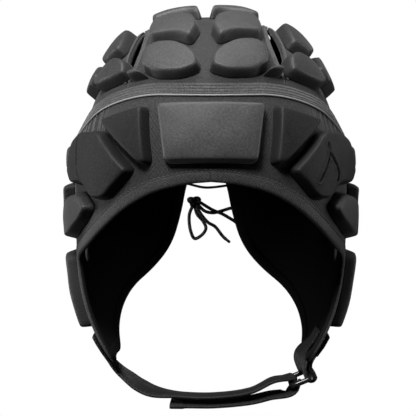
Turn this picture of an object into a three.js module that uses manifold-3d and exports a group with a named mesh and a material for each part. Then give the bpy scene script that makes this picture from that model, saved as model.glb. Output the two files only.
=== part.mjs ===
// Rugby scrum cap as it sits on a head: stretch fabric panels with raised foam pads,
// a headband, a bound free edge, a chin strap with a plastic loop, and laces at the back.
// Millimetres, +Z up, the face opening towards -Y, the wearer's left at +X.
// The origin is inside the crown, where the top of the head carries the cap.
import * as THREE from "three";
import { mergeVertices } from "three/addons/utils/BufferGeometryUtils.js";
import Module from "manifold-3d";

const wasm = await Module();
wasm.setup();

// Head form: the outer face of the fabric
const headHalfWidth = 88;
const headFront = 98; // from the head's middle to the brow
const headBack = 104; // from the head's middle to the back of the head
const domeHeight = 98; // from the brow level up to the fabric's top
const headSquareness = 2.2; // exponent of the head's cross sections, 2 is an ellipse
const flapDrop = 120; // from the brow level down to the ear flaps' tips
const jawTaper = 0.24; // share of the width lost at the flaps' tips
const napeTaper = 0.25; // share of the back's depth lost at the flaps' tips
const bandPinch = 0.06; // share by which the headband draws the sides in

// Fabric, foam and trim
const fabricWall = 3;
const clearance = 0.35; // between pieces that touch on the real cap
const padThickness = 8;
const lowPadThickness = 5.5; // the pads over the ears
const padSeat = 0.45; // least gap under a pad's foot
const padCrown = 0.5; // rise of a pad's middle over its edge
const shoulderInset = 2.8; // from a pad's foot to the edge of its top face
const wallInset = 0.5;
const wallShare = 0.62; // height of a pad's steep wall, as a share of its thickness
const bluntTurn = 48; // degrees; a corner that turns less keeps its single point
const cornerCut = 3.2; // distance that each pad corner is cut back
const longestSide = 17; // a pad's edge over this is split, so that it follows the head
const largePadRadius = 21; // a pad over this mean radius gets one more ring on top
const narrowShare = 0.45; // most of a narrow pad's half width that its shoulder takes up
const bandWidth = 8;
const bandThickness = 1.4;
const bindingWidth = 5;
const bindingLip = 0.6; // how far the binding stands proud of the fabric, inside and out

// Headband line, heights as shares of the dome
const bandFrontHeight = 0.356;
const bandDip = 0.21;
const bandRearRise = 0.05;
const bandDipFrom = 20;
const bandDipTo = 105;
const bandRiseFrom = 120;

// Chin strap, loop and laces
const strapWidth = 25;
const strapThickness = 2.2;
const strapOverlap = 12; // how far the strap and the tab reach up the flaps
const chinDrop = 22; // from the flaps' tips to the strap's lowest point
const barDiameter = 3.6;
const loopLength = 17.2; // along the strap
const loopSideGap = 2; // from the strap's edge to the loop's end bar
const tailDrop = 4.9; // from the strap down to its folded tail, middle to middle
const laceDiameter = 2.4;
const elasticDiameter = 1.8;
const earHoleWidth = 17;
const earHoleHeight = 25;

const degrees = Math.PI / 180;
const browLevel = -(domeHeight - fabricWall);
const bindingSide = bindingWidth + clearance;
const mix = THREE.MathUtils.lerp;
const smoothstep = THREE.MathUtils.smoothstep;

// The headband's pull on the sides, for a direction from the head's middle: 0 to 1.
function pinchAt(x, y, z) {
  const azimuth = Math.abs(Math.atan2(x, -y)) / degrees;
  const rise = Math.asin(z) / degrees;
  const around = smoothstep(azimuth, 45, 85) * (1 - smoothstep(azimuth, 100, 140));
  return around * smoothstep(rise, 8, 26) * (1 - smoothstep(rise, 32, 62));
}

// Radius of the dome in a direction from the head's middle.
function domeRadius(d) {
  const round = sectionRadius(d.x, d.y, d.z, headHalfWidth, headFront, headBack, domeHeight);
  return round * (1 - bandPinch * pinchAt(d.x, d.y, d.z));
}

// Radius of a superellipse with the given half sizes, in a direction.
function sectionRadius(x, y, z, width, front, back, height) {
  const depth = y < 0 ? front : back;
  const sum =
    Math.abs(x / width) ** headSquareness +
    Math.abs(y / depth) ** headSquareness +
    Math.abs(z / height) ** headSquareness;
  return sum ** (-1 / headSquareness);
}

// Half sizes of the head form at a depth below the brow level.
function skirtSizes(depth) {
  const share = Math.max(depth, 0) / flapDrop;
  return [
    headHalfWidth * (1 - jawTaper * share ** 4),
    headFront,
    headBack * (1 - napeTaper * share ** 2),
  ];
}

// How far a point lies outside the fabric's outer face, measured from the head's middle or axis.
function outside(point) {
  const up = point.z - browLevel;
  if (up >= 0) {
    const far = Math.hypot(point.x, point.y, up);
    return far - domeRadius(new THREE.Vector3(point.x / far, point.y / far, up / far));
  }
  const far = Math.hypot(point.x, point.y);
  return far - sectionRadius(point.x / far, point.y / far, 0, ...skirtSizes(-up), 1);
}

function normalAt(point) {
  const step = 0.05;
  const axes = [new THREE.Vector3(step, 0, 0), new THREE.Vector3(0, step, 0), new THREE.Vector3(0, 0, step)];
  const slope = axes.map((axis) => outside(point.clone().add(axis)) - outside(point.clone().sub(axis)));
  return new THREE.Vector3(...slope).normalize();
}

// The point that lies the given height over the fabric's outer face at a point of that face.
function lifted(point, height) {
  return point.clone().addScaledVector(normalAt(point), height);
}

// Moves a point along a direction until it lies on the fabric's outer face.
function droppedOn(point, direction) {
  const found = point.clone();
  for (let pass = 0; pass < 12; pass++) {
    const lean = Math.max(0.35, normalAt(found).dot(direction));
    found.addScaledVector(direction, -outside(found) / lean);
  }
  return found;
}

// A point of the fabric by azimuth from the front in degrees, positive to the wearer's left, and
// height: 0 at the brow level, 1 at the top of the dome, -1 at the flaps' tips.
function ringPoint(azimuth, height) {
  const x = Math.sin(azimuth * degrees);
  const y = -Math.cos(azimuth * degrees);
  if (height >= 0) {
    const rise = (height * Math.PI) / 2;
    const flat = Math.cos(rise);
    const direction = new THREE.Vector3(x * flat, y * flat, Math.sin(rise));
    return fromMiddle(direction);
  }
  const drop = -height * flapDrop;
  const radius = sectionRadius(x, y, 0, ...skirtSizes(drop), 1);
  return new THREE.Vector3(x * radius, y * radius, browLevel - drop);
}

// A point of the dome in a direction from the head's middle.
function fromMiddle(direction) {
  const d = direction.clone().normalize();
  return new THREE.Vector3(0, 0, browLevel).addScaledVector(d, domeRadius(d));
}

// A point of the dome by side angle from the middle line and by angle over the top from the front.
function crownDirection(side, over) {
  const flat = Math.cos(side * degrees);
  return new THREE.Vector3(
    Math.sin(side * degrees),
    -flat * Math.cos(over * degrees),
    flat * Math.sin(over * degrees),
  );
}

function crownPoint(side, over) {
  return fromMiddle(crownDirection(side, over));
}

// A point of an upper side panel, which follows the crown panel's shift as it nears the top.
function upperPoint(azimuth, height) {
  const d = aimedAt(azimuth, height * 90);
  const side = Math.asin(d.x) / degrees;
  const over = Math.atan2(d.z, -d.y) / degrees;
  return crownPoint(side + crownShift * smoothstep(height, 0.25, 0.55), over);
}

// Height of the headband's middle line at an azimuth.
function bandHeight(azimuth) {
  const away = Math.abs(azimuth);
  return (
    bandFrontHeight -
    bandDip * smoothstep(away, bandDipFrom, bandDipTo) +
    bandRearRise * smoothstep(away, bandRiseFrom, 180)
  );
}

// Reads a table of [place, value] rows at a place, with straight lines between the rows.
function readTable(table, place) {
  const next = table.findIndex((row) => row[0] >= place);
  if (next === 0) return table[0][1];
  if (next < 0) return table[table.length - 1][1];
  const [a, b] = [table[next - 1], table[next]];
  return mix(a[1], b[1], (place - a[0]) / (b[0] - a[0]));
}

// Free edge of the lower shell, for one side: rows of [azimuth, height share]
const faceEdge = [
  [0, 0.022], [11, 0.012], [22, -0.027], [34, -0.115], [45, -0.222], [56, -0.318],
  [66, -0.375], [73, -0.405], [78, -0.44], [80.2, -0.49], [81, -0.56],
];
const flapTip = -1;
const flapRearCorner = 111;
const rearEdge = [
  [111, -1.0], [121.5, -0.9], [132.3, -0.785], [142, -0.69], [154, -0.6], [162.6, -0.48],
  [166.8, -0.31], [168.9, -0.16], [170.6, -0.085], [174, -0.035], [180, -0.02],
];
const lacingShift = 1.8; // degrees that the lacing gap sits towards the wearer's right
const shiftFrom = 105; // azimuths between which that shift grows
const shiftTo = 150;
const flapFrontAzimuth = 81;
const flapLean = 12; // degrees that the flap's front edge leans forwards by the tip
const leanFrom = -0.45;
const leanSpan = 0.55;

function leanAt(height) {
  return flapLean * THREE.MathUtils.clamp((leanFrom - height) / leanSpan, 0, 1) ** 2;
}

// The face opening's own columns lean with the flap's front edge.
function leaned(azimuth, height) {
  return azimuth * (1 - leanAt(height) / flapFrontAzimuth);
}

// The rear edge's own columns turn with the lacing gap.
function turned(azimuth) {
  const away = azimuth > 180 ? 360 - azimuth : Math.abs(azimuth);
  return azimuth + lacingShift * smoothstep(away, shiftFrom, shiftTo);
}

// Vents between the crown panel and the side panels: rows of [angle over the top, side angle],
// and the vents' half widths: rows of [angle over the top, half width in mm]
const crownEdge = [
  [30, 30], [37, 29.5], [44, 28.8], [50, 27.6], [60, 26], [72, 24.6], [90, 23.8], [108, 24.6], [122, 26], [140, 26.5], [170, 25],
];
const ventHalfWidth = [
  [42, 0.2], [48, 2.4], [58, 4], [68, 3.4], [78, 1.8], [86, 0.2], [96, 0.2], [101, 1.8],
  [106, 2.6], [111, 1.8], [115, 0.2],
];
const crownShift = -2; // degrees that the crown panel sits towards the wearer's right

// Pads below the headband: corners as [azimuth, height share], for the wearer's left
const middlePads = {
  forehead: [[-21.3, 0.293], [21.3, 0.293], [16.7, 0.055], [-16.7, 0.055]],
  rear_centre: [[159, 0.152], [201, 0.152], [196, 0.028], [164, 0.028]],
};
const ringPads = {
  wedge: [[24.2, 0.288], [44.4, 0.228], [43.2, 0.197], [25.4, 0.048], [20.6, 0.05]],
  temple: [
    [43.6, 0.184], [27, 0.032], [39, -0.122], [46.5, -0.13], [52.5, -0.052],
    [64, -0.07], [71, 0], [64.5, 0.14], [56, 0.182],
  ],
  side: [[48, -0.165], [56, -0.087], [67, -0.108], [79, -0.155], [83, -0.25], [80, -0.375], [66, -0.335], [54, -0.245]],
  over_ear_front: [[67.5, 0.13], [74.5, 0.005], [91.5, -0.03], [92.5, 0.095], [80, 0.115]],
  over_ear_rear: [[95.5, 0.1], [94.5, -0.03], [113.5, -0.035], [120.5, 0.092]],
  occiput: [[124, 0.092], [117, -0.04], [150, -0.052], [156, 0.13], [140, 0.105]],
  ear_top: [[81.5, -0.075], [96, -0.075], [117.5, -0.085], [119, -0.2], [113, -0.29], [103, -0.245], [95, -0.27], [87, -0.3], [86, -0.2]],
  cheek: [[84, -0.455], [93.5, -0.43], [97, -0.56], [109, -0.6], [110, -0.77], [101, -0.86], [78.5, -0.85], [80.5, -0.7]],
  ear_rear: [[122, -0.09], [142, -0.1], [140.5, -0.36], [134, -0.58], [121, -0.72], [113.5, -0.6], [115, -0.34], [122, -0.24]],
  nape: [[146, -0.1], [163, -0.105], [161, -0.27], [154, -0.43], [145, -0.52], [139, -0.5], [144, -0.35]],
};

// Pads of the upper side panels, the same columns
const upperPads = {
  upper_front: [[38, 0.477], [34.8, 0.405], [41, 0.378], [52, 0.35], [59, 0.365], [57.5, 0.468], [47.5, 0.512]],
  upper_top_front: [[49.5, 0.548], [57, 0.625], [69, 0.68], [88.5, 0.7], [89.5, 0.565], [73, 0.505], [60, 0.487]],
  upper_middle_front: [[62.5, 0.375], [61, 0.455], [75, 0.475], [89.5, 0.53], [90.5, 0.34], [78, 0.35]],
  upper_top_rear: [[92.5, 0.7], [111, 0.68], [122, 0.625], [128, 0.55], [120, 0.49], [107, 0.505], [92.5, 0.565]],
  upper_middle_rear: [[93.5, 0.34], [92.5, 0.53], [106, 0.475], [118.5, 0.455], [119.5, 0.3], [107, 0.32]],
  upper_rear: [[122.5, 0.29], [121.5, 0.455], [131, 0.5], [142, 0.41], [149, 0.3], [151, 0.23]],
};

// Pads of the crown panel: corners as [side angle, angle over the top]
const crownPads = {
  crown_nub: [[18.8, 39.1], [24, 43.9], [27.6, 43], [26.2, 40.4]],
  crown_1: [[1.4, 38.4], [8, 36.2], [16.5, 37.6], [22.6, 43.4], [21, 53], [16.5, 55], [9.6, 52.8], [4, 48], [1.3, 43]],
  crown_2: [[4.4, 51.6], [10, 56], [20, 58.2], [20.4, 66], [18.6, 75], [9.4, 76.2], [3, 69], [1.3, 60.5]],
  crown_3: [[1.3, 76], [6, 79.6], [19.6, 78.2], [20.4, 91], [19.4, 102.5], [4.4, 103], [1.3, 99]],
  crown_4: [[1.3, 103.4], [4.2, 106], [19, 105.5], [21.4, 118], [20.6, 131], [8, 131.5], [1.3, 127]],
  crown_5: [[1.3, 131.5], [7, 134.6], [21, 134], [22, 147], [19.5, 158], [1.3, 158]],
};

// A solid from point rings of equal length, closed by a fan at each end.
function loftSolid(rings, startPoint, endPoint) {
  const size = rings[0].length;
  const points = [startPoint, ...rings.flat(), endPoint];
  const last = points.length - 1;
  const faces = [];
  const at = (ring, k) => 1 + ring * size + (k % size);
  for (let k = 0; k < size; k++) {
    faces.push(0, at(0, k + 1), at(0, k));
    for (let ring = 0; ring + 1 < rings.length; ring++) {
      faces.push(at(ring, k), at(ring, k + 1), at(ring + 1, k + 1));
      faces.push(at(ring, k), at(ring + 1, k + 1), at(ring + 1, k));
    }
    faces.push(last, at(rings.length - 1, k), at(rings.length - 1, k + 1));
  }
  return facingOut(points, faces);
}

// A solid from sections of equal length joined into a closed loop.
function loopSolid(sections) {
  const count = sections.length;
  const size = sections[0].length;
  const faces = [];
  const at = (s, k) => (s % count) * size + (k % size);
  for (let s = 0; s < count; s++) {
    for (let k = 0; k < size; k++) {
      faces.push(at(s, k), at(s, k + 1), at(s + 1, k + 1));
      faces.push(at(s, k), at(s + 1, k + 1), at(s + 1, k));
    }
  }
  return facingOut(sections.flat(), faces);
}

// A thick sheet: outer and inner are grids of points [column][row].
function sheetSolid(outer, inner, closed = false) {
  const columns = outer.length;
  const rows = outer[0].length;
  const points = [...outer.flat(), ...inner.flat()];
  const faces = [];
  const at = (layer, c, r) => layer * columns * rows + (c % columns) * rows + r;
  const quad = (a, b, c, d) => faces.push(a, b, c, a, c, d);
  for (let c = 0; c + (closed ? 0 : 1) < columns; c++) {
    for (let r = 0; r + 1 < rows; r++) {
      quad(at(0, c, r), at(0, c + 1, r), at(0, c + 1, r + 1), at(0, c, r + 1));
      quad(at(1, c, r), at(1, c, r + 1), at(1, c + 1, r + 1), at(1, c + 1, r));
    }
    quad(at(0, c + 1, 0), at(0, c, 0), at(1, c, 0), at(1, c + 1, 0));
    quad(at(0, c, rows - 1), at(0, c + 1, rows - 1), at(1, c + 1, rows - 1), at(1, c, rows - 1));
  }
  if (!closed) {
    for (let r = 0; r + 1 < rows; r++) {
      quad(at(0, 0, r), at(0, 0, r + 1), at(1, 0, r + 1), at(1, 0, r));
      quad(at(0, columns - 1, r + 1), at(0, columns - 1, r), at(1, columns - 1, r), at(1, columns - 1, r + 1));
    }
  }
  return facingOut(points, faces);
}

// A geometry from points and triangle indices, turned so that its faces point out.
function facingOut(points, faces) {
  let volume = 0;
  for (let f = 0; f < faces.length; f += 3) {
    const [a, b, c] = [points[faces[f]], points[faces[f + 1]], points[faces[f + 2]]];
    volume += a.dot(new THREE.Vector3().crossVectors(b, c));
  }
  if (volume < 0) faces.reverse();
  const geometry = new THREE.BufferGeometry().setFromPoints(points);
  geometry.setIndex(faces);
  return geometry;
}

function toManifold(geometry) {
  const bare = new THREE.BufferGeometry();
  bare.setAttribute("position", geometry.getAttribute("position"));
  bare.setIndex(geometry.index);
  const merged = mergeVertices(bare, 1e-4);
  return new wasm.Manifold(
    new wasm.Mesh({
      numProp: 3,
      vertProperties: merged.attributes.position.array,
      triVerts: new Uint32Array(merged.index.array),
    }),
  );
}

function toGeometry(manifold) {
  const mesh = manifold.getMesh();
  const geometry = new THREE.BufferGeometry();
  geometry.setAttribute("position", new THREE.BufferAttribute(mesh.vertProperties, mesh.numProp));
  geometry.setIndex(new THREE.BufferAttribute(mesh.triVerts, 1));
  return geometry;
}

const range = (count, make) => Array.from({ length: count }, (_, k) => make(k));
const spread = (from, to, count) => range(count, (k) => mix(from, to, k / (count - 1)));

// Fabric panels

const crownColumns = 10;
const ventRows = 19;
const sideRows = 5;
const shellColumns = 60;
const shellRows = 8;
const ventFront = 40; // angles over the top where the side panels begin and end
const ventRear = 158;

// Angle over the top at which the crown meets the headband, for a side angle.
function crownEnd(side, atBack) {
  let over = atBack ? 160 : 34;
  for (let pass = 0; pass < 8; pass++) {
    const rise = bandHeight(azimuthOf(crownDirection(side, over))) * 90;
    const sine = Math.min(1, Math.sin(rise * degrees) / Math.cos(side * degrees));
    over = Math.asin(sine) / degrees;
    if (atBack) over = 180 - over;
  }
  return over;
}

const azimuthOf = (direction) => Math.atan2(direction.x, -direction.y) / degrees;
const millimetresPerDegree = (domeHeight * Math.PI) / 180;
const panelGap = clearance / millimetresPerDegree;
const ventOvers = spread(ventFront, ventRear, ventRows);

// Side angle of a vent's edge: hand 1 is the wearer's left, bank -1 the crown's side and 1 the other.
function ventEdge(hand, bank, over) {
  const half = readTable(ventHalfWidth, over) / millimetresPerDegree + panelGap / 2;
  return hand * (readTable(crownEdge, over) + bank * half) + crownShift;
}

function crownPanel() {
  const grid = (height) =>
    spread(0, 1, crownColumns + 1).map((across) => {
      const sideAt = (over) => mix(ventEdge(-1, -1, over), ventEdge(1, -1, over), across);
      const front = crownEnd(sideAt(ventFront), false) + panelGap;
      const rear = crownEnd(sideAt(ventRear), true) - panelGap;
      return [
        crownPoint(sideAt(ventFront), front),
        ...ventOvers.map((over) => crownPoint(sideAt(over), over)),
        crownPoint(sideAt(ventRear), rear),
      ].map((point) => lifted(point, height));
    });
  return sheetSolid(grid(0), grid(-fabricWall));
}

// The side panel runs from the vents' line down to the headband.
function sidePanel(hand) {
  const foot = (over, atBack) => {
    const side = ventEdge(hand, 1, over);
    return Math.abs(azimuthOf(crownDirection(side, crownEnd(side, atBack))));
  };
  const azimuths = spread(foot(ventFront, false), foot(ventRear, true), ventRows);
  const grid = (height) =>
    ventOvers.map((over, column) => {
      const top = crownDirection(ventEdge(hand, 1, over), over);
      const rise = bandHeight(azimuths[column]) * 90 + panelGap;
      const low = aimedAt(hand * azimuths[column], rise);
      return spread(0, 1, sideRows + 1).map((down) =>
        lifted(fromMiddle(top.clone().lerp(low, down)), height),
      );
    });
  return sheetSolid(grid(0), grid(-fabricWall));
}

// A direction by azimuth and elevation in degrees.
function aimedAt(azimuth, rise) {
  const flat = Math.cos(rise * degrees);
  return new THREE.Vector3(
    Math.sin(azimuth * degrees) * flat,
    -Math.cos(azimuth * degrees) * flat,
    Math.sin(rise * degrees),
  );
}

// A cutter through the fabric: columns of [azimuth, top height], down past the flaps' tips.
function edgeCutter(columns, place) {
  const reach = 12;
  const floor = flapTip - 0.1;
  const grid = (height) =>
    columns.map(([azimuth, top]) =>
      spread(top, floor, 9).map((level) => lifted(ringPoint(place(azimuth, level), level), height)),
    );
  return toManifold(sheetSolid(grid(reach), grid(-reach)));
}

const mirrored = (table) => [...table].reverse().slice(0, -1).map(([azimuth, value]) => [-azimuth, value]);

// An oval hole through the fabric on the wearer's left or right.
const earHole = { azimuth: 104.5, height: -0.43 };
function earCutter(hand) {
  const centre = ringPoint(hand * earHole.azimuth, earHole.height);
  const out = normalAt(centre);
  const across = new THREE.Vector3(0, 0, 1).cross(out).normalize();
  const up = out.clone().cross(across);
  const ring = (height) =>
    range(14, (k) => {
      const turn = (k / 14) * 2 * Math.PI;
      return centre
        .clone()
        .addScaledVector(across, (Math.cos(turn) * earHoleWidth) / 2)
        .addScaledVector(up, (Math.sin(turn) * earHoleHeight) / 2)
        .addScaledVector(out, height);
    });
  const reach = 9;
  const end = (height) => centre.clone().addScaledVector(out, height);
  return toManifold(loftSolid([ring(-reach), ring(reach)], end(-reach), end(reach)));
}

function lowerShell() {
  const gap = clearance / millimetresPerDegree / 90;
  const grid = (height) =>
    range(shellColumns, (column) => {
      const azimuth = (column / shellColumns) * 360 - 180;
      return spread(bandHeight(azimuth) - gap, flapTip, shellRows + 1).map((level) =>
        lifted(ringPoint(azimuth, level), height),
      );
    });
  let shell = toManifold(sheetSolid(grid(0), grid(-fabricWall), true));
  const rear = [...rearEdge, ...mirrored(rearEdge).map(([azimuth, value]) => [azimuth + 360, value])];
  shell = shell.subtract(edgeCutter([...mirrored(faceEdge), ...faceEdge], leaned));
  shell = shell.subtract(edgeCutter(rear, turned));
  for (const hand of [1, -1]) shell = shell.subtract(earCutter(hand));
  const bodies = shell.subtract(toManifold(edgeBinding(clearance))).decompose();
  bodies.sort((a, b) => b.volume() - a.volume());
  return toGeometry(bodies[0]);
}

// Trim

function headband() {
  const half = bandWidth / 2 / millimetresPerDegree / 90;
  const sections = range(shellColumns, (column) => {
    const azimuth = (column / shellColumns) * 360 - 180;
    const middle = bandHeight(azimuth);
    const inner = [middle - half, middle + half].map((level) => ringPoint(azimuth, level));
    return [
      lifted(inner[0], clearance),
      lifted(inner[1], clearance),
      lifted(inner[1], clearance + bandThickness),
      lifted(inner[0], clearance + bandThickness),
    ];
  });
  return loopSolid(sections);
}

// The free edge as one closed line of points on the fabric, starting at the middle of the brow.
function freeEdge() {
  const flapFront = spread(faceEdge[faceEdge.length - 1][1], flapTip, 7).slice(1, -1);
  const front = flapFrontAzimuth - leanAt(flapTip);
  const half = [
    ...faceEdge.map(([azimuth, level]) => [leaned(azimuth, level), level]),
    ...flapFront.map((level) => [flapFrontAzimuth - leanAt(level), level]),
    ...spread(front + 1, flapRearCorner - 1, 5).map((azimuth) => [azimuth, flapTip]),
    ...rearEdge.slice(1),
  ];
  const other = half.slice(1, -1).reverse().map(([azimuth, level]) => [-azimuth, level]);
  return [...half, ...other].map(([azimuth, level]) => ringPoint(turned(azimuth), level));
}

// The binding as a solid, or with spare room around it to cut the fabric back.
function edgeBinding(room = 0) {
  const line = freeEdge();
  const count = line.length;
  const sections = line.map((point, k) => {
    const before = line[(k + count - 1) % count];
    const after = line[(k + 1) % count];
    const normal = normalAt(point);
    const into = point.clone().sub(before).normalize();
    const onward = after.clone().sub(point).normalize();
    const sideIn = into.clone().cross(normal).normalize();
    const sideOn = onward.clone().cross(normal).normalize();
    const side = sideIn.clone().add(sideOn).normalize();
    const mitre = Math.min(1.5, 1 / Math.max(0.5, side.dot(sideOn)));
    const place = (offset, height) =>
      point.clone().addScaledVector(side, offset * mitre).addScaledVector(normal, height);
    const [top, low] = [bindingLip + room, -fabricWall - bindingLip - room];
    const [near, far] = [clearance - room, clearance + bindingWidth + room];
    return [place(near, top), place(far, top), place(far, low), place(near, low)];
  });
  return loopSolid(sections);
}

// Foam pads

// Cuts each sharp corner of a flat outline back by a set distance along both of its edges.
function cutCorners(outline) {
  return outline.flatMap((corner, k) => {
    const before = outline[(k + outline.length - 1) % outline.length];
    const after = outline[(k + 1) % outline.length];
    const back = before.clone().sub(corner);
    const on = after.clone().sub(corner);
    const turn = 180 - back.angleTo(on) / degrees;
    if (turn < bluntTurn) return [corner];
    const reach = Math.min(cornerCut, back.length() * 0.3, on.length() * 0.3);
    return [
      corner.clone().addScaledVector(back.normalize(), reach),
      corner.clone().addScaledVector(on.normalize(), reach),
    ];
  });
}

// Splits the long edges of a flat outline.
function splitLong(outline) {
  return outline.flatMap((point, k) => {
    const next = outline[(k + 1) % outline.length];
    const parts = Math.ceil(point.distanceTo(next) / longestSide);
    return range(parts, (part) => point.clone().lerp(next, part / parts));
  });
}

// Moves an outline's points inwards by a distance.
function insetOutline(outline, distance) {
  return outline.map((point, k) => {
    const before = outline[(k + outline.length - 1) % outline.length];
    const after = outline[(k + 1) % outline.length];
    const along = after.clone().sub(before).normalize();
    return point.clone().add(new THREE.Vector2(-along.y, along.x).multiplyScalar(distance));
  });
}

// Distance from a point inside an outline to its nearest edge.
function nearestEdge(outline, point) {
  const distances = outline.map((corner, k) => {
    const along = outline[(k + 1) % outline.length].clone().sub(corner).normalize();
    return Math.abs(along.cross(point.clone().sub(corner)));
  });
  return Math.min(...distances);
}

// Height of a pad's foot at which the flat facets between its points stay clear of the fabric.
function seatUnder(foot) {
  const sags = foot.map((point, k) => {
    const next = foot[(k + 1) % foot.length];
    return padSeat - outside(point.clone().lerp(next, 0.5));
  });
  return padSeat + Math.max(...sags);
}

// A pad whose foot has the given corners on the fabric: a steep wall, a rounded shoulder and a low crown.
function padSolid(corners, thickness = padThickness) {
  const centre = new THREE.Vector3();
  for (const corner of corners) centre.addScaledVector(corner, 1 / corners.length);
  const out = normalAt(centre);
  const origin = droppedOn(centre, out);
  const across = new THREE.Vector3(0, 0, 1).cross(out);
  if (across.length() < 0.2) across.set(1, 0, 0).cross(out);
  across.normalize();
  const up = out.clone().cross(across);
  const flat = corners.map((corner) => {
    const offset = corner.clone().sub(origin);
    return new THREE.Vector2(offset.dot(across), offset.dot(up));
  });
  if (THREE.ShapeUtils.isClockWise(flat)) flat.reverse();
  const foot = splitLong(cutCorners(flat));
  const middle = new THREE.Vector2();
  for (const point of foot) middle.addScaledVector(point, 1 / foot.length);
  const radius = foot.reduce((sum, point) => sum + point.distanceTo(middle), 0) / foot.length;
  const place = (point, height) => {
    const above = origin.clone().addScaledVector(across, point.x).addScaledVector(up, point.y);
    return lifted(droppedOn(above, out), height);
  };
  const ring = (outline, height) => outline.map((point) => place(point, height));
  const shrunk = (outline, share) => outline.map((point) => middle.clone().lerp(point, share));
  const shoulder = Math.min(shoulderInset, nearestEdge(foot, middle) * narrowShare);
  const top = insetOutline(foot, shoulder);
  const seat = seatUnder(ring(foot, padSeat));
  const reach = Math.max(...foot.map((point) => point.distanceTo(middle)));
  const seatRise = reach ** 2 / (3 * headHalfWidth);
  const rings = [
    ring(foot, seat),
    ring(insetOutline(foot, wallInset), thickness * wallShare),
    ring(top, thickness),
  ];
  if (radius > largePadRadius) rings.push(ring(shrunk(top, 0.5), thickness + padCrown));
  const geometry = loftSolid(rings, place(middle, seat + seatRise), place(middle, thickness + padCrown));
  const frame = new THREE.Matrix4().makeBasis(across, up, out).setPosition(origin);
  return { geometry, frame };
}

// Straps

// A flat strap along stations of { point, across, up }, with across and up as unit vectors.
function strapSolid(stations, width, thickness) {
  const sections = stations.map(({ point, across, up }) =>
    [
      [-1, -1],
      [1, -1],
      [1, 1],
      [-1, 1],
    ].map(([side, face]) =>
      point
        .clone()
        .addScaledVector(across, (side * width) / 2)
        .addScaledVector(up, (face * thickness) / 2),
    ),
  );
  return loftSolid(sections, stations[0].point, stations[stations.length - 1].point);
}

// Stations along a smooth curve whose strap lies flat across the given direction.
function stationsAlong(curve, count, acrossAt) {
  return range(count, (k) => {
    const share = k / (count - 1);
    const point = curve.getPointAt(share);
    const along = curve.getTangentAt(share);
    const across = acrossAt(share).clone();
    across.addScaledVector(along, -across.dot(along)).normalize();
    return { point, across, up: along.clone().cross(across).normalize() };
  });
}

const strapAzimuth = 91; // where the strap and the tab sit on the flaps
const tipLevel = browLevel - flapDrop - bindingSide;
const strapBow = 0.7; // rise of the flap's curve under the flat strap
const strapLift = bindingLip + clearance + strapBow + strapThickness / 2;

// Where a strap lies on a flap: on its outer face, clear of the binding.
function onFlap(hand, up) {
  const level = flapTip + up / flapDrop;
  return lifted(ringPoint(hand * strapAzimuth, level), strapLift);
}

// The same on the flap's inner face.
function insideFlap(hand, up) {
  const level = flapTip + up / flapDrop;
  return lifted(ringPoint(hand * strapAzimuth, level), -fabricWall - strapLift);
}

// The level direction along a flap, towards the back.
function alongFlap(hand) {
  const normal = normalAt(ringPoint(hand * strapAzimuth, flapTip + strapOverlap / flapDrop / 2));
  return new THREE.Vector3(0, 0, hand).cross(normal).normalize();
}

// The loop's middle and its direction along the strap, towards the wearer's left flap.
const flapTipLeft = onFlap(1, -bindingSide);
const loopDirection = new THREE.Vector3(0.92, 0.02, 0.38).normalize();
const loopMiddle = new THREE.Vector3(
  flapTipLeft.x - 0.072 * headHalfWidth,
  flapTipLeft.y - 4,
  tipLevel - 0.555 * chinDrop,
);
const loopAcross = new THREE.Vector3(0, 1, 0).addScaledVector(loopDirection, -loopDirection.y).normalize();
const loopUp = loopDirection.clone().cross(loopAcross).normalize();
const barCentre = (hand) =>
  loopMiddle.clone().addScaledVector(loopDirection, (hand * (loopLength - barDiameter)) / 2);

function buckleLoop() {
  const halfLong = (loopLength - barDiameter) / 2;
  const halfWide = strapWidth / 2 + loopSideGap + barDiameter / 2;
  const cut = 3;
  const corners = [
    [halfLong, halfWide - cut],
    [halfLong - cut, halfWide],
    [cut - halfLong, halfWide],
    [-halfLong, halfWide - cut],
    [-halfLong, cut - halfWide],
    [cut - halfLong, -halfWide],
    [halfLong - cut, -halfWide],
    [halfLong, cut - halfWide],
  ];
  const line = corners.map(([along, across]) =>
    loopMiddle.clone().addScaledVector(loopDirection, along).addScaledVector(loopAcross, across),
  );
  const sections = line.map((point, k) => {
    const before = line[(k + line.length - 1) % line.length];
    const after = line[(k + 1) % line.length];
    const along = after.clone().sub(before).normalize();
    const side = along.clone().cross(loopUp).normalize();
    return range(8, (corner) => {
      const turn = ((corner + 0.5) / 8) * 2 * Math.PI;
      return point
        .clone()
        .addScaledVector(side, (Math.cos(turn) * barDiameter) / 2)
        .addScaledVector(loopUp, (Math.sin(turn) * barDiameter) / 2);
    });
  });
  return loopSolid(sections);
}

// Stations of a strap that wraps a bar from above to below, seen from the bar's far side.
function barTurn(centre, direction, turns) {
  const radius = barDiameter / 2 + clearance + strapThickness / 2;
  return turns.map((turn) => {
    const outward = direction.clone().multiplyScalar(Math.cos(turn)).addScaledVector(loopUp, Math.sin(turn));
    return { point: centre.clone().addScaledVector(outward, radius), across: loopAcross, up: outward };
  });
}

const strapTurn = spread(68, -80, 7).map((angle) => angle * degrees);
const strapDip = 0.07; // fall of the strap from its front edge to its rear edge, a share of its width
const tailRise = 0.02; // the same for the tail, the other way
const strapRoll = 0.24; // rise of the strap's rear edge where it leaves the wearer's right flap

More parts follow.
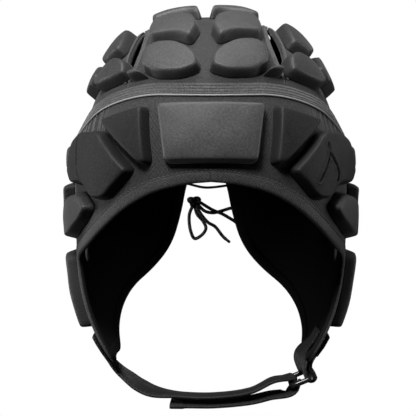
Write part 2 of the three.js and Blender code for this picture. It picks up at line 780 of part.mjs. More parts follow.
function chinStrap() {
  const bar = barCentre(-1);
  const turn = barTurn(bar, loopDirection, strapTurn);
  const low = tipLevel - chinDrop;
  const start = turn[0].point;
  const end = turn[turn.length - 1].point;
  const main = new THREE.CatmullRomCurve3([
    onFlap(-1, strapOverlap),
    onFlap(-1, strapOverlap / 2),
    onFlap(-1, -bindingSide),
    new THREE.Vector3(-0.618 * headHalfWidth, -4, mix(tipLevel, low, 0.486)),
    new THREE.Vector3(-0.531 * headHalfWidth, -7, mix(tipLevel, low, 0.725)),
    new THREE.Vector3(-0.43 * headHalfWidth, -10, mix(tipLevel, low, 0.9)),
    new THREE.Vector3(-0.25 * headHalfWidth, -12, mix(tipLevel, low, 0.985)),
    new THREE.Vector3(0.02 * headHalfWidth, -14, low),
    new THREE.Vector3(0.29 * headHalfWidth, -12, mix(tipLevel, low, 0.866)),
    new THREE.Vector3(0.46 * headHalfWidth, -8, mix(tipLevel, low, 0.59)),
    start,
  ], false, "centripetal");
  const flapAcross = alongFlap(-1);
  const acrossAt = (share) => {
    const roll = strapRoll * smoothstep(share, 0.08, 0.26) * (1 - smoothstep(share, 0.3, 0.5));
    const chinAcross = new THREE.Vector3(0, 1, roll - strapDip).normalize();
    return flapAcross.clone().lerp(chinAcross, smoothstep(share, 0.05, 0.3));
  };
  const mainStations = stationsAlong(main, 26, acrossAt);
  mainStations.pop();
  const tail = new THREE.CatmullRomCurve3([
    end,
    new THREE.Vector3(end.x - 0.035 * headHalfWidth, -7, mix(tipLevel, low, 0.95)),
    new THREE.Vector3(0.44 * headHalfWidth, -9, mix(tipLevel, low, 1.03)),
    new THREE.Vector3(0.29 * headHalfWidth, -12, mix(tipLevel, low, 1.14)),
    new THREE.Vector3(0.02 * headHalfWidth, -14, low - tailDrop),
    new THREE.Vector3(-0.15 * headHalfWidth, -14, low - tailDrop),
    new THREE.Vector3(-0.3 * headHalfWidth, -13.5, low - tailDrop),
  ], false, "centripetal");
  const tailAcross = new THREE.Vector3(0, 1, tailRise).normalize();
  const tailStations = stationsAlong(tail, 16, (share) => loopAcross.clone().lerp(tailAcross, smoothstep(share, 0, 0.5)));
  tailStations.shift();
  return strapSolid(keepFacing([...mainStations, ...turn, ...tailStations]), strapWidth, strapThickness);
}

// Turns each station's section so that it follows the one before it without a twist.
function keepFacing(stations) {
  for (let k = 1; k < stations.length; k++) {
    const here = stations[k];
    const before = stations[k - 1];
    if (here.across.dot(before.across) < 0) here.across = here.across.clone().negate();
    if (here.up.dot(before.up) < 0) here.up = here.up.clone().negate();
  }
  return stations;
}

function buckleTab() {
  const bar = barCentre(1);
  const turns = spread(-150, 30, 8).map((angle) => angle * degrees);
  const turn = barTurn(bar, loopDirection.clone().negate(), turns);
  const outer = new THREE.CatmullRomCurve3([
    onFlap(1, strapOverlap),
    onFlap(1, strapOverlap / 2),
    onFlap(1, -bindingSide / 2),
    turn[0].point,
  ], false, "centripetal");
  const flapAcross = alongFlap(1);
  const outerStations = stationsAlong(outer, 12, (share) => flapAcross.clone().lerp(loopAcross, share));
  outerStations.pop();
  const inner = new THREE.CatmullRomCurve3([
    turn[turn.length - 1].point,
    insideFlap(1, -bindingSide),
    insideFlap(1, strapOverlap / 2),
    insideFlap(1, strapOverlap),
  ], false, "centripetal");
  const innerStations = stationsAlong(inner, 10, (share) => loopAcross.clone().lerp(flapAcross, share));
  innerStations.shift();
  return strapSolid(keepFacing([...outerStations, ...turn, ...innerStations]), strapWidth, strapThickness);
}

// Laces

// A round cord along a smooth curve through points.
function cordSolid(points, diameter, steps) {
  const curve = new THREE.CatmullRomCurve3(points.map((p) => new THREE.Vector3(...p)), false, "centripetal");
  const section = new THREE.Shape();
  range(8, (k) => {
    const turn = (k / 8) * 2 * Math.PI;
    const [x, y] = [(Math.cos(turn) * diameter) / 2, (Math.sin(turn) * diameter) / 2];
    if (k === 0) section.moveTo(x, y);
    else section.lineTo(x, y);
  });
  section.closePath();
  return new THREE.ExtrudeGeometry(section, { steps, bevelEnabled: false, extrudePath: curve, curveSegments: 1 });
}

const cordLift = bindingLip + clearance + laceDiameter / 2;
const laceEye = (hand, azimuth, height) => lifted(ringPoint(hand * azimuth, height), cordLift).toArray();
const knotCentre = new THREE.Vector3(-12, 104, -125.3);
const knotSize = new THREE.Vector3(10, 7, 8.6);

function laceKnot() {
  const ball = new THREE.IcosahedronGeometry(0.5, 1);
  ball.scale(...knotSize.toArray());
  ball.translate(...knotCentre.toArray());
  return mergeVertices(ball.deleteAttribute("normal").deleteAttribute("uv"), 1e-3);
}

// Where a strand meets the knot's surface, in a direction from the knot's middle.
function knotEnd(x, y, z) {
  const direction = new THREE.Vector3(x, y, z).normalize();
  const reach = 0.5 / direction.clone().divide(knotSize).length() + clearance * 1.5;
  return knotCentre.clone().addScaledVector(direction, reach).toArray();
}

// Routes as [across, depth, height], from the wearer's right to left, and the ends at the knot
const elasticRoute = [
  laceEye(-1, 167, -0.14),
  laceEye(-1, 170.5, -0.145),
  [-4, 104, -115.3],
  laceEye(1, 170.5, -0.15),
  laceEye(1, 167, -0.148),
];
const crossingRoute = [
  knotEnd(1, 0, -0.12),
  [1.4, 104, -131.4],
  [7.8, 104, -134],
  [15.6, 103.4, -138.5],
  laceEye(1, 167, -0.395),
  laceEye(1, 164.6, -0.345),
  laceEye(1, 167, -0.295),
  [14.9, 104.8, -130],
  [7.8, 106.8, -132.1],
  [1.4, 107.3, -133.6],
  [-4.5, 107.3, -132.3],
  knotEnd(0.72, 0.5, -0.6),
];
const bowRoute = [
  knotEnd(-0.35, 0.2, -1),
  [-15.4, 105.5, -135],
  [-14.5, 106, -146.4],
  [-11.6, 106, -151.9],
  [-5.7, 105.5, -148.5],
  [-3.6, 105, -144.2],
  [-5.7, 104.8, -139.3],
  [-9.8, 104.2, -134.4],
  knotEnd(0.12, -0.12, -1),
];
const endRoute = [
  knotEnd(0.55, -0.55, -0.8),
  [-7.9, 101.8, -132.8],
  [-2.1, 101.4, -139.9],
  [2.8, 101.2, -142.8],
  [8.5, 101.2, -149.9],
  [13.5, 101.2, -154.2],
];

// Placement

const fabricLook = { color: 0x1b1b1c, roughness: 0.85, metalness: 0 };
const looks = {
  fabric: new THREE.MeshStandardMaterial(fabricLook),
  pad: new THREE.MeshStandardMaterial({ ...fabricLook, color: 0x232324 }),
  tape: new THREE.MeshStandardMaterial({ color: 0x3a3a3b, roughness: 0.7, metalness: 0 }),
  webbing: new THREE.MeshStandardMaterial({ color: 0x161617, roughness: 0.8, metalness: 0 }),
  plastic: new THREE.MeshStandardMaterial({ color: 0x2c2c2e, roughness: 0.35, metalness: 0 }),
  cord: new THREE.MeshStandardMaterial({ color: 0x111112, roughness: 0.6, metalness: 0 }),
};

// Adds a piece to a group with its own origin and turn: a given frame, or else the piece's middle.
function add(group, name, geometry, look, frame = middleFrame(geometry)) {
  geometry.applyMatrix4(frame.clone().invert());
  const mesh = new THREE.Mesh(geometry, look);
  mesh.name = name;
  frame.decompose(mesh.position, mesh.quaternion, mesh.scale);
  group.add(mesh);
}

function middleFrame(geometry) {
  geometry.computeBoundingBox();
  return new THREE.Matrix4().setPosition(geometry.boundingBox.getCenter(new THREE.Vector3()));
}

function addPad(group, name, corners, thickness) {
  const { geometry, frame } = padSolid(corners, thickness);
  add(group, `pad_${name}`, geometry, looks.pad, frame);
}

const cap = new THREE.Group();
const [panels, trim, padding, chinStraps, lacing] = range(5, () => new THREE.Group());
cap.add(panels, trim, padding, chinStraps, lacing);

add(panels, "crown_panel", crownPanel(), looks.fabric);
add(panels, "side_panel_left", sidePanel(1), looks.fabric);
add(panels, "side_panel_right", sidePanel(-1), looks.fabric);
add(panels, "lower_shell", lowerShell(), looks.fabric);
add(trim, "headband", headband(), looks.tape);
add(trim, "edge_binding", edgeBinding(), looks.tape);

for (const [name, corners] of Object.entries(middlePads)) {
  addPad(padding, name, corners.map(([azimuth, height]) => ringPoint(azimuth, height)));
}
for (const [word, hand] of [["left", 1], ["right", -1]]) {
  const side = new THREE.Group();
  padding.add(side);
  for (const [name, corners] of Object.entries(ringPads)) {
    const placed = corners.map(([azimuth, height]) => ringPoint(hand * azimuth, height));
    addPad(side, `${name}_${word}`, placed, name.startsWith("over_ear") ? lowPadThickness : padThickness);
  }
  for (const [name, corners] of Object.entries(upperPads)) {
    addPad(side, `${name}_${word}`, corners.map(([azimuth, height]) => upperPoint(hand * azimuth, height)));
  }
  for (const [name, corners] of Object.entries(crownPads)) {
    addPad(side, `${name}_${word}`, corners.map(([angle, over]) => crownPoint(hand * angle + crownShift, over)));
  }
}

add(chinStraps, "chin_strap", chinStrap(), looks.webbing);
add(chinStraps, "buckle_loop", buckleLoop(), looks.plastic);
add(chinStraps, "buckle_tab", buckleTab(), looks.webbing);

add(lacing, "lace_upper", cordSolid(elasticRoute, elasticDiameter, 12), looks.cord);
add(lacing, "lace_knot", laceKnot(), looks.cord);
add(lacing, "lace_crossing", cordSolid(crossingRoute, laceDiameter, 28), looks.cord);
add(lacing, "lace_bow", cordSolid(bowRoute, laceDiameter, 20), looks.cord);
add(lacing, "lace_end", cordSolid(endRoute, laceDiameter, 12), looks.cord);

export default cap;
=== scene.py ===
"""Rugby scrum cap: the padded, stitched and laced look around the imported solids.

Shapes are worked out in millimetres in the same axes as the solids, and stored in metres.
"""

import math

import bpy
import numpy as np
from bpy.props import FloatProperty, FloatVectorProperty, IntProperty, PointerProperty
from bpy.types import Operator, Panel, PropertyGroup
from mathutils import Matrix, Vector


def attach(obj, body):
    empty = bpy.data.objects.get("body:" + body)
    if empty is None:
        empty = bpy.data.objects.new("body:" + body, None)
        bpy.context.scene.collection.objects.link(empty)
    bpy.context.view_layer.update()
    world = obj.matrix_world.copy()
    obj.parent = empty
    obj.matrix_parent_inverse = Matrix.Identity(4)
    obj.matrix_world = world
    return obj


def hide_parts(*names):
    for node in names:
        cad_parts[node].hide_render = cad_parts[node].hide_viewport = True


bl_info = {
    "name": "Scrum cap",
    "version": (1, 0, 0),
    "blender": (4, 5, 0),
    "location": "3D View > Sidebar > Scrum cap",
    "description": "Dresses the solids of a rugby scrum cap",
    "category": "Object",
}

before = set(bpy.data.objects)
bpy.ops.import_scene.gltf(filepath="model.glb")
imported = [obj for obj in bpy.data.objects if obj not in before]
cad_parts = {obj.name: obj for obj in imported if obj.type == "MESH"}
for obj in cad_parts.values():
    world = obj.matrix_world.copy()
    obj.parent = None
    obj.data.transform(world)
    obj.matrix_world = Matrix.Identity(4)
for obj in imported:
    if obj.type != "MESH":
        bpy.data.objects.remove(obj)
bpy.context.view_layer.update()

MM = 0.001

# Head form: the outer face of the fabric, in millimetres and degrees
HALF_WIDTH = 88.0
FRONT = 98.0
BACK = 104.0
DOME = 98.0
SQUARENESS = 2.2
FLAP_DROP = 120.0
JAW_TAPER = 0.24
NAPE_TAPER = 0.25
BAND_PINCH = 0.06
PINCH_AROUND = ((45, 85), (100, 140))
PINCH_RISE = ((8, 26), (32, 62))
FABRIC = 3.0
BROW_LEVEL = -(DOME - FABRIC)
MM_PER_DEGREE = DOME * math.pi / 180
RING_MM_PER_DEGREE = 1.62
CROWN_SHIFT = -2.0
CROWN_SHIFT_HEIGHTS = (0.25, 0.55)

# Free edge of the lower shell on the wearer's left: rows of azimuth and height share
FACE_EDGE = [
    (0, 0.022), (11, 0.012), (22, -0.027), (34, -0.115), (45, -0.222), (56, -0.318),
    (66, -0.375), (73, -0.405), (78, -0.44), (80.2, -0.49), (81, -0.56),
]
REAR_EDGE = [
    (111, -1.0), (121.5, -0.9), (132.3, -0.785), (142, -0.69), (154, -0.6), (162.6, -0.48),
    (166.8, -0.31), (168.9, -0.16), (170.6, -0.085), (174, -0.035), (180, -0.02),
]
FLAP_FRONT = 81.0
FLAP_REAR = 111.0
STRAP_AZIMUTH = 91.0
FLAP_LEAN = 12.0
FLAP_LEAN_FROM = -0.45
REAR_TURN = 1.8
REAR_TURN_FROM = (105, 150)
EAR_HOLE = (104.5, -0.43)
EAR_HOLE_SIZE = (17.0, 25.0)

# Vents: rows of the angle over the top and the side angle, or the half width
CROWN_EDGE = [
    (30, 30), (37, 29.5), (44, 28.8), (50, 27.6), (60, 26), (72, 24.6), (90, 23.8), (108, 24.6),
    (122, 26), (140, 26.5), (170, 25),
]
VENT_HALF_WIDTH = [
    (42, 0.2), (48, 2.4), (58, 4), (68, 3.4), (78, 1.8), (86, 0.2), (96, 0.2), (101, 1.8),
    (106, 2.6), (111, 1.8), (115, 0.2),
]
VENT_FRONT = 40.0
VENT_REAR = 158.0
VENT_TAPE_REAR = 146.0

# Pads below the headband: corners by azimuth and height share, for the wearer's left
MIDDLE_PADS = {
    "forehead": [(-21.3, 0.293), (21.3, 0.293), (16.7, 0.055), (-16.7, 0.055)],
    "rear_centre": [(159, 0.152), (201, 0.152), (196, 0.028), (164, 0.028)],
}
RING_PADS = {
    "wedge": [(24.2, 0.288), (44.4, 0.228), (43.2, 0.197), (25.4, 0.048), (20.6, 0.05)],
    "temple": [
        (43.6, 0.184), (27, 0.032), (39, -0.122), (46.5, -0.13), (52.5, -0.052),
        (64, -0.07), (71, 0), (64.5, 0.14), (56, 0.182),
    ],
    "side": [
        (48, -0.165), (56, -0.087), (67, -0.108), (79, -0.155), (83, -0.25), (80, -0.375),
        (66, -0.335), (54, -0.245),
    ],
    "over_ear_front": [(67.5, 0.13), (74.5, 0.005), (91.5, -0.03), (92.5, 0.095), (80, 0.115)],
    "over_ear_rear": [(95.5, 0.1), (94.5, -0.03), (113.5, -0.035), (120.5, 0.092)],
    "occiput": [(124, 0.092), (117, -0.04), (150, -0.052), (156, 0.13), (140, 0.105)],
    "ear_top": [
        (81.5, -0.075), (96, -0.075), (117.5, -0.085), (119, -0.2), (113, -0.29),
        (103, -0.245), (95, -0.27), (87, -0.3), (86, -0.2),
    ],
    "cheek": [
        (84, -0.455), (93.5, -0.43), (97, -0.56), (109, -0.6), (110, -0.77), (101, -0.86),
        (78.5, -0.85), (80.5, -0.7),
    ],
    "ear_rear": [
        (122, -0.09), (142, -0.1), (140.5, -0.36), (134, -0.58), (121, -0.72), (113.5, -0.6),
        (115, -0.34), (122, -0.24),
    ],
    "nape": [
        (146, -0.1), (163, -0.105), (161, -0.27), (154, -0.43), (145, -0.52), (139, -0.5),
        (144, -0.35),
    ],
}
UPPER_PADS = {
    "upper_front": [
        (38, 0.477), (34.8, 0.405), (41, 0.378), (52, 0.35), (59, 0.365), (57.5, 0.468),
        (47.5, 0.512),
    ],
    "upper_top_front": [
        (49.5, 0.548), (57, 0.625), (69, 0.68), (88.5, 0.7), (89.5, 0.565), (73, 0.505),
        (60, 0.487),
    ],
    "upper_middle_front": [
        (62.5, 0.375), (61, 0.455), (75, 0.475), (89.5, 0.53), (90.5, 0.34), (78, 0.35),
    ],
    "upper_top_rear": [
        (92.5, 0.7), (111, 0.68), (122, 0.625), (128, 0.55), (120, 0.49), (107, 0.505),
        (92.5, 0.565),
    ],
    "upper_middle_rear": [
        (93.5, 0.34), (92.5, 0.53), (106, 0.475), (118.5, 0.455), (119.5, 0.3), (107, 0.32),
    ],
    "upper_rear": [
        (122.5, 0.29), (121.5, 0.455), (131, 0.5), (142, 0.41), (149, 0.3), (151, 0.23),
    ],
}
CROWN_PADS = {
    "crown_nub": [(18.8, 39.1), (24, 43.9), (27.6, 43), (26.2, 40.4)],
    "crown_1": [
        (1.4, 38.4), (8, 36.2), (16.5, 37.6), (22.6, 43.4), (21, 53), (16.5, 55),
        (9.6, 52.8), (4, 48), (1.3, 43),
    ],
    "crown_2": [
        (4.4, 51.6), (10, 56), (20, 58.2), (20.4, 66), (18.6, 75), (9.4, 76.2), (3, 69),
        (1.3, 60.5),
    ],
    "crown_3": [
        (1.3, 76), (6, 79.6), (19.6, 78.2), (20.4, 91), (19.4, 102.5), (4.4, 103), (1.3, 99),
    ],
    "crown_4": [
        (1.3, 103.4), (4.2, 106), (19, 105.5), (21.4, 118), (20.6, 131), (8, 131.5),
        (1.3, 127),
    ],
    "crown_5": [(1.3, 131.5), (7, 134.6), (21, 134), (22, 147), (19.5, 158), (1.3, 158)],
}

# Creases pressed into the temple pads, by azimuth and height share
TEMPLE_CREASES = {
    "temple_left": [
        [(44.3, 0.125), (44.5, 0.087), (42.6, 0.04), (40.2, 0.0), (39.2, -0.02)],
        [(44.5, 0.087), (47.6, 0.045), (50, 0.005), (49.3, -0.025)],
    ],
    "temple_right": [[(-55.3, 0.145), (-54.7, 0.061), (-54, 0.0)]],
}

HANDS = (("left", 1), ("right", -1))

# Strap: rows of a share of the half width, the depth and a share of the chin drop
STRAP_ROUTE = [
    (-0.618, -4, 0.486), (-0.531, -7, 0.725), (-0.43, -10, 0.9), (-0.25, -12, 0.985),
    (0.02, -14, 1), (0.29, -12, 0.866), (0.46, -8, 0.59),
]
TAIL_ROUTE = [(0.44, -9, 1.03), (0.29, -12, 1.14)]
TAIL_END = [(0.02, -14), (-0.15, -14), (-0.3, -13.5)]
SEAM_PLACE = 9.6
BAR_GAP = 0.15

# Strap and laces, in millimetres
STRAP_WIDTH = 25.0
STRAP_THICKNESS = 2.2
STRAP_OVERLAP = 12.0
CHIN_DROP = 22.0
BAR_DIAMETER = 3.6
LOOP_LENGTH = 17.2
LOOP_SIDE_GAP = 2.0
TAIL_DROP = 4.9
TAIL_RISE = 0.02
STRAP_DIP = 0.07
STRAP_ROLL = 0.24
CLEARANCE = 0.35
BINDING_LIP = 0.6
BINDING_SIDE = 5.35
LACE_DIAMETER = 2.4
ELASTIC_DIAMETER = 1.8
KNOT_CENTRE = np.array([-12.0, 104.0, -125.3])
KNOT_SIZE = np.array([10.0, 7.0, 8.6])
KNOT_OVERLAP = 0.9


# Head form

def smoothstep(value, low, high):
    share = np.clip((value - low) / (high - low), 0.0, 1.0)
    return share * share * (3 - 2 * share)


def unit(vectors):
    return vectors / np.maximum(np.linalg.norm(vectors, axis=-1, keepdims=True), 1e-12)


def soft_span(value, rise, fall):
    """1 in a range and 0 outside it, with a soft start and a soft end."""
    return smoothstep(value, *rise) * (1 - smoothstep(value, *fall))


def section_radius(x, y, z, width, back):
    """Reach of the rounded box in a direction."""
    depth = np.where(y < 0, FRONT, back)
    shares = (x / width, y / depth, z / DOME)
    return sum(np.abs(share) ** SQUARENESS for share in shares) ** (-1 / SQUARENESS)


def azimuth_of(d):
    return np.degrees(np.arctan2(d[..., 0], -d[..., 1]))


def rise_of(d):
    return np.degrees(np.arcsin(np.clip(d[..., 2], -1, 1)))


def dome_radius(d):
    pinch = soft_span(np.abs(azimuth_of(d)), *PINCH_AROUND) * soft_span(rise_of(d), *PINCH_RISE)
    round_part = section_radius(d[..., 0], d[..., 1], d[..., 2], HALF_WIDTH, BACK)
    return round_part * (1 - BAND_PINCH * pinch)


def skirt_radius(x, y, depth):
    share = np.maximum(depth, 0) / FLAP_DROP
    width = HALF_WIDTH * (1 - JAW_TAPER * share**4)
    return section_radius(x, y, 0 * x, width, BACK * (1 - NAPE_TAPER * share**2))


def outside(points):
    """How far points lie outside the fabric's outer face."""
    x, y, up = points[..., 0], points[..., 1], points[..., 2] - BROW_LEVEL
    above = up >= 0
    far = np.maximum(np.sqrt(x * x + y * y + np.where(above, up * up, 0)), 1e-9)
    d = np.stack([x / far, y / far, np.where(above, up, 0) / far], -1)
    return far - np.where(above, dome_radius(d), skirt_radius(d[..., 0], d[..., 1], -up))


def normal_at(points):
    step = 0.05
    slopes = [outside(points + step * axis) - outside(points - step * axis) for axis in np.eye(3)]
    return unit(np.stack(slopes, -1))


def lifted(points, height):
    height = np.asarray(height, float)[..., None]
    return points + normal_at(points) * height


def dropped_on(points, direction):
    """Moves points along a direction until they lie on the fabric's outer face."""
    for _ in range(10):
        lean = np.maximum(0.35, normal_at(points) @ direction)
        points = points + direction * (-outside(points) / lean)[..., None]
    return points


def from_middle(d):
    d = unit(d)
    return np.array([0, 0, BROW_LEVEL]) + d * dome_radius(d)[..., None]


def aimed_at(azimuth, rise):
    azimuth, rise = np.broadcast_arrays(np.radians(azimuth), np.radians(rise))
    flat = np.cos(rise)
    return np.stack([np.sin(azimuth) * flat, -np.cos(azimuth) * flat, np.sin(rise)], -1)


def ring_point(azimuth, height):
    """A point of the fabric by azimuth and height share: 0 at the brow, -1 at the flaps' tips."""
    azimuth, height = np.broadcast_arrays(np.asarray(azimuth, float), np.asarray(height, float))
    dome = from_middle(aimed_at(azimuth, np.maximum(height, 0) * 90))
    x, y = np.sin(np.radians(azimuth)), -np.cos(np.radians(azimuth))
    drop = np.maximum(-height, 0) * FLAP_DROP
    radius = skirt_radius(x, y, drop)
    skirt = np.stack([x * radius, y * radius, BROW_LEVEL - drop], -1)
    return np.where((height >= 0)[..., None], dome, skirt)


def crown_direction(side, over):
    side, over = np.broadcast_arrays(np.radians(side), np.radians(over))
    flat = np.cos(side)
    return np.stack([np.sin(side), -flat * np.cos(over), flat * np.sin(over)], -1)


def crown_point(side, over):
    return from_middle(crown_direction(side, over))


def upper_point(azimuth, height):
    """A point over the headband, moved aside with the crown the higher it lies."""
    d = aimed_at(azimuth, height * 90)
    side = np.degrees(np.arcsin(d[..., 0]))
    over = np.degrees(np.arctan2(d[..., 2], -d[..., 1]))
    return crown_point(side + CROWN_SHIFT * smoothstep(height, *CROWN_SHIFT_HEIGHTS), over)


def shifted_crown_point(side, over):
    return crown_point(side + CROWN_SHIFT, over)


def band_height(azimuth):
    """Height share of the headband's middle: high over the brow, low at the sides."""
    away = np.abs(azimuth)
    return 0.356 - 0.21 * smoothstep(away, 20, 105) + 0.05 * smoothstep(away, 120, 180)


def soft_table(rows, place, blur):
    """Reads a table of rows with its corners rounded over a width."""
    places, values = np.array(rows, float).T
    offsets = np.linspace(-1, 1, 9) * blur
    return np.mean([np.interp(np.asarray(place) + o, places, values) for o in offsets], axis=0)


def lean_at(height):
    """How far the flap's front edge leans forward, in degrees."""
    return FLAP_LEAN * np.clip((FLAP_LEAN_FROM - height) / (1 + FLAP_LEAN_FROM), 0, 1) ** 2


def turned(azimuth):
    """The whole rear edge sits a little to one side."""
    away = np.minimum(np.abs(azimuth), 360 - np.abs(azimuth))
    return azimuth + REAR_TURN * smoothstep(away, *REAR_TURN_FROM)


# Lines

def chaikin(points, passes, closed=True):
    """Rounds the corners of a line by cutting them."""
    for _ in range(passes):
        following = np.roll(points, -1, axis=0) if closed else points[1:]
        here = points if closed else points[:-1]
        cut = np.stack([here * 0.75 + following * 0.25, here * 0.25 + following * 0.75], 1)
        cut = cut.reshape(-1, points.shape[1])
        points = cut if closed else np.vstack([points[:1], cut, points[-1:]])
    return points


def evenly(points, count, closed=False):
    """The same line with evenly spaced points."""
    if closed:
        points = np.vstack([points, points[:1]])
    along = travelled(points)
    wanted = np.linspace(0, along[-1], count, endpoint=not closed)
    return np.stack([np.interp(wanted, along, column) for column in points.T], -1)


def travelled(points):
    """Length of the line up to each of its points."""
    return np.concatenate([[0], np.cumsum(np.linalg.norm(np.diff(points, axis=0), axis=1))])


def length_of(points):
    return float(travelled(points)[-1])


def smooth_curve(points, count):
    """Centripetal Catmull-Rom curve through points, evenly spaced."""
    points = np.array(points, float)
    ends = [2 * points[0] - points[1], *points, 2 * points[-1] - points[-2]]
    found = []
    for p0, p1, p2, p3 in zip(ends, ends[1:], ends[2:], ends[3:]):
        d0, d1, d2 = (np.linalg.norm(gap) ** 0.5 for gap in (p1 - p0, p2 - p1, p3 - p2))
        t1 = ((p1 - p0) / d0 - (p2 - p0) / (d0 + d1) + (p2 - p1) / d1) * d1
        t2 = ((p2 - p1) / d1 - (p3 - p1) / (d1 + d2) + (p3 - p2) / d2) * d1
        t = np.linspace(0, 1, 24, endpoint=False)[:, None]
        found.append(
            p1
            + t1 * t
            + (-3 * p1 + 3 * p2 - 2 * t1 - t2) * t**2
            + (2 * p1 - 2 * p2 + t1 + t2) * t**3
        )
    return evenly(np.vstack([*found, points[-1:]]), count)


def distance_to_line(points, line, closed=False):
    """Distance from each point to a line of straight pieces, in any number of dimensions."""
    starts = line if closed else line[:-1]
    ends = np.roll(line, -1, axis=0) if closed else line[1:]
    best = np.full(len(points), 1e9)
    for a, b in zip(starts, ends):
        along = b - a
        share = np.clip(((points - a) @ along) / max(along @ along, 1e-12), 0, 1)
        best = np.minimum(best, np.linalg.norm(points - a - share[:, None] * along, axis=1))
    return best


def free_edge():
    """The free edge as one smooth line of azimuth and height share, from the brow right round."""
    front = FLAP_FRONT - FLAP_LEAN
    tips = np.linspace(FACE_EDGE[-1][1], -1, 7)[1:-1]
    half = [(a * (1 - lean_at(h) / FLAP_FRONT), h) for a, h in FACE_EDGE]
    half += [(FLAP_FRONT - lean_at(h), h) for h in tips]
    half += [(a, -1.0) for a in np.linspace(front + 1, FLAP_REAR - 1, 5)]
    half += REAR_EDGE[1:]
    other = [(-a, h) for a, h in half[1:-1][::-1]]
    right = [(360 + a, h) for a, h in other]
    line = chaikin(np.array(half + right + [(360, half[0][1])], float), 3, closed=False)
    return np.stack([turned(line[:, 0]), line[:, 1]], -1)


# Mesh making

def make_piece(name, points, faces, uv=None, marks=None, looks=(), look_of_face=None):
    """A mesh object from points in millimetres."""
    mesh = bpy.data.meshes.new(name)
    mesh.from_pydata(np.asarray(points) * MM, [], faces)
    if uv is not None:
        layer = mesh.uv_layers.new(name="cloth")
        corners = np.empty(len(mesh.loops), np.int32)
        mesh.loops.foreach_get("vertex_index", corners)
        layer.data.foreach_set("uv", (np.asarray(uv, np.float32) * MM)[corners].ravel())
    for mark, values in (marks or {}).items():
        attribute = mesh.attributes.new(mark, "FLOAT", "POINT")
        attribute.data.foreach_set("value", np.asarray(values, np.float32))
    for look in looks:
        mesh.materials.append(look)
    if look_of_face is not None:
        mesh.polygons.foreach_set("material_index", np.asarray(look_of_face, np.int32))
    mesh.polygons.foreach_set("use_smooth", np.ones(len(mesh.polygons), bool))
    mesh.update()
    piece = bpy.data.objects.new(name, mesh)
    bpy.context.scene.collection.objects.link(piece)
    return piece


def ring_faces(rings, size, closed_round=True, closed_along=False):
    """Quads between rings of equal size, numbered one ring after another."""
    count = rings if closed_along else rings - 1
    across = size if closed_round else size - 1
    r, k = np.meshgrid(np.arange(count), np.arange(across), indexing="ij")
    after = (r + 1) % rings
    beside = (k + 1) % size
    quads = [r * size + k, r * size + beside, after * size + beside, after * size + k]
    return [tuple(q) for q in np.stack(quads, -1).reshape(-1, 4).tolist()]


def stations(line, side, up, profile):
    """A profile set up at each point of a line, in the directions given there."""
    return line[:, None] + side[:, None] * profile[..., :1] + up[:, None] * profile[..., 1:]


def circle(count):
    turn = np.linspace(0, 2 * np.pi, count, endpoint=False)
    return np.stack([np.cos(turn), np.sin(turn)], -1)


def cloth_places(along, across, shape):
    """Cloth coordinates of a swept skin."""
    along = np.broadcast_to(np.reshape(along, (-1, 1)), shape)
    return np.stack([along, np.broadcast_to(across, shape)], -1).reshape(-1, 2)


def facing_out(points, faces):
    """Turns the faces of a closed mesh so that they point out."""
    points = np.asarray(points)
    volume = 0.0
    for face in faces:
        a = points[face[0]]
        for k in range(1, len(face) - 1):
            volume += float(np.dot(a, np.cross(points[face[k]], points[face[k + 1]])))
    return faces if volume > 0 else [tuple(reversed(face)) for face in faces]


def sweep(sections, closed=False):
    """Points and faces of a closed skin over equal sections, with a fan at each open end."""
    count, size = sections.shape[:2]
    points = sections.reshape(-1, 3)
    faces = ring_faces(count, size, closed_along=closed)
    if not closed:
        faces.append(tuple(range(size))[::-1])
        faces.append(tuple((count - 1) * size + k for k in range(size)))
    return points, facing_out(points, faces)


def frames_along(line):
    """Two sides at each point of a line, turning as little as possible."""
    tangent = unit(np.gradient(line, axis=0))
    side = np.empty_like(line)
    current = np.cross(tangent[0], [0.1, 0.2, 1.0])
    for k in range(len(line)):
        current = unit(current - tangent[k] * (current @ tangent[k]))
        side[k] = current
    return side, np.cross(tangent, side)


def tube(line, radius, sides=12):
    """Sections of a round cord along a line, and their cloth coordinates."""
    radius = np.broadcast_to(radius, len(line))
    sections = stations(line, *frames_along(line), circle(sides) * radius[:, None, None])
    around = np.abs(np.linspace(0, 2 * np.pi, sides, endpoint=False) - np.pi) * radius.mean()
    return sections, cloth_places(travelled(line), around, sections.shape[:2])[:, ::-1]


def two_layers(layer, shift):
    """Faces of a cloth from those of its outer layer: outer, lining and the borders between.
    The lining's points follow the outer ones. Returns the faces and which are the lining."""
    lining = [tuple(shift + k for k in reversed(face)) for face in layer]
    border = border_faces(layer, shift)
    return layer + lining + border, [0] * len(layer) + [1] * len(lining) + [0] * len(border)


def border_faces(faces, shift):
    """Quads that join the open edges of a layer to the same edges of the layer below it."""
    edges = {}
    for face in faces:
        for a, b in zip(face, face[1:] + face[:1]):
            edges[(a, b)] = True
    return [(b, a, a + shift, b + shift) for a, b in edges if (b, a) not in edges]


# Materials

GRAIN_SCALE = 900.0


class Signal:
    """One value in a material. Arithmetic on it adds Math nodes."""

    def __init__(self, look, socket):
        self.look = look
        self.socket = socket

    def math(self, operation, first, second=0.0):
        return self.look.node("ShaderNodeMath", {"operation": operation}, {0: first, 1: second})

    def __add__(self, other):
        return self.math("ADD", self, other)

    def __sub__(self, other):
        return self.math("SUBTRACT", self, other)

    def __rsub__(self, other):
        return self.math("SUBTRACT", other, self)

    def __mul__(self, other):
        return self.math("MULTIPLY", self, other)

    __radd__ = __add__
    __rmul__ = __mul__

    def sine(self):
        return self.math("SINE", self)

    def size(self):
        return self.math("ABSOLUTE", self)

    def between(self, low, high):
        """0 below low, 1 above high, with a soft way in between."""
        settings = {"interpolation_type": "SMOOTHSTEP"}
        inputs = {"Value": self, "From Min": low, "From Max": high}
        return self.look.node("ShaderNodeMapRange", settings, inputs)


